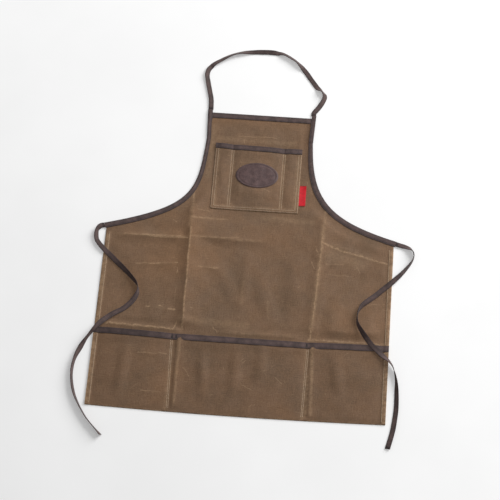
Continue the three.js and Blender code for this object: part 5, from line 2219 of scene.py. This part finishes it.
@dataclass
class Apron:
    """The whole apron, from its cloth to its ties."""

    body: ApronBody = field(default_factory=ApronBody)

    MARGIN = 0.001

    def __post_init__(self) -> None:
        """Set the pockets and bindings on the body."""
        self.lower = LowerPocket(self.body)
        self.chest = ChestPocket(self.body)
        self.bindings = Bindings(self.body, self.lower, self.chest)

    def surface(self, x: Array, y: Array) -> Array:
        """Give the height of the topmost cloth or tape at each place, or 0 beside the apron."""
        inside = np.abs(x - self.body.bib_centre(y)) < self.body.half_at(y)
        inside = inside & (y > 0.0) & (y < BIB_TOP_Y)
        high = np.where(inside, self.body.top(x, y), 0.0)
        rim = self.lower.mouth(x)
        pocket = inside & (y < rim)
        high = np.where(pocket, self.lower.top(x, y), high)
        below = rim + GAP + TAPE - y
        mouth = (below > -self.MARGIN) & (below < self.lower.band + self.MARGIN)
        mouth = mouth & (np.abs(x) < self.body.half_width + self.MARGIN)
        bound = self.lower.bottom(x, rim) + CLOTH + GAP + TAPE
        return np.where(mouth, np.maximum(bound, high), high)

    def build(self, finishes: Finishes) -> None:
        """Make every piece, the loose tapes first.

        Args:
            finishes: the apron's materials.
        """
        WaistTies().build(self.surface, finishes)
        neck = FlatTape("neck_strap_tape", NECK_STRAP_ROUTE, "neck_strap")
        neck.build(lambda x, y: np.zeros_like(x), finishes)
        self.body.build(finishes)
        self.lower.build(finishes)
        self.chest.build(finishes)
        self.bindings.build(finishes)
        LeatherPatch(self.chest).build(finishes)
        SideTag(self.body).build(finishes)


# Studio


@dataclass(frozen=True)
class SoftLight:
    """A rectangular soft light, placed by its direction from the apron."""

    name: str
    azimuth: float
    elevation: float
    distance: float
    size: float
    power: float
    casts: bool = True

    def build(self) -> None:
        """Hang the light and aim it at the apron."""
        lamp = bpy.data.lights.new(self.name, "AREA")
        lamp.shape = "SQUARE"
        lamp.size = self.size
        lamp.energy = self.power
        lamp.use_shadow = self.casts
        turn, rise = math.radians(self.azimuth), math.radians(self.elevation)
        away = Vector((math.cos(turn) * math.cos(rise), math.sin(turn) * math.cos(rise), math.sin(rise)))
        light = bpy.data.objects.new(self.name, lamp)
        light.location = away * self.distance
        light.rotation_euler = away.to_track_quat("Z", "Y").to_euler()
        bpy.context.scene.collection.objects.link(light)


@dataclass
class Studio:
    """The camera, the pale floor and the soft lights."""

    lens: float = 144.0
    sensor: float = 36.0
    elevation: float = 61.77
    yaw: float = 4.34
    distance: float = 4.921
    aim: tuple[float, float] = (0.0033, 0.441)
    floor_half: float = 9.0
    floor_drop: float = 0.0002
    sky: float = 0.29
    lights: tuple[SoftLight, ...] = (
        SoftLight("key", azimuth=42.0, elevation=31.0, distance=8.0, size=5.0, power=600.0),
        SoftLight("even", azimuth=42.0, elevation=31.0, distance=8.0, size=5.0, power=440.0, casts=False),
    )

    def camera(self) -> None:
        """Set the camera at the photograph's viewing angle."""
        rise, turn = math.radians(self.elevation), math.radians(self.yaw)
        back = Vector((math.sin(turn) * math.cos(rise), -math.cos(turn) * math.cos(rise), math.sin(rise)))
        view = bpy.data.cameras.new("camera")
        view.lens = self.lens
        view.sensor_width = self.sensor
        camera = bpy.data.objects.new("camera", view)
        camera.location = Vector((self.aim[0], self.aim[1] + HEM_SHIFT, 0.0)) + back * self.distance
        camera.rotation_euler = back.to_track_quat("Z", "Y").to_euler()
        bpy.context.scene.collection.objects.link(camera)
        bpy.context.scene.camera = camera

    def surroundings(self) -> None:
        """Lay the floor, hang the lights and set the sky."""
        half = self.floor_half
        mesh = bpy.data.meshes.new("floor")
        places = ((-half, -half), (half, -half), (half, half), (-half, half))
        mesh.from_pydata([(x, y, -self.floor_drop) for x, y in places], [], [(0, 1, 2, 3)])
        mesh.materials.append(PaleFloor().build("pale_floor"))
        floor = bpy.data.objects.new("floor", mesh)
        bpy.context.scene.collection.objects.link(floor)
        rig.stage(floor)
        for light in self.lights:
            light.build()
        world = bpy.data.worlds.new("sky")
        world.use_nodes = True
        sky = world.node_tree.nodes["Background"].inputs
        sky["Color"].default_value = (1.0, 1.0, 1.0, 1.0)
        sky["Strength"].default_value = self.sky
        bpy.context.scene.world = world
        bpy.context.scene.view_settings.view_transform = "Standard"


def main() -> None:
    """Set the camera, build the apron and light it."""
    logging.basicConfig(level=logging.INFO, format="%(name)s: %(message)s")
    studio = Studio()
    studio.camera()
    Apron().build(Finishes.make())
    studio.surroundings()
    boxes = {"cad": CAD_BOX, "visual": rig.bounds()}
    with open(SIZE_FILE, "w", encoding="utf-8") as out:
        json.dump({name: [list(corner) for corner in box] for name, box in boxes.items()}, out)


if __name__ == "__main__":
    main()
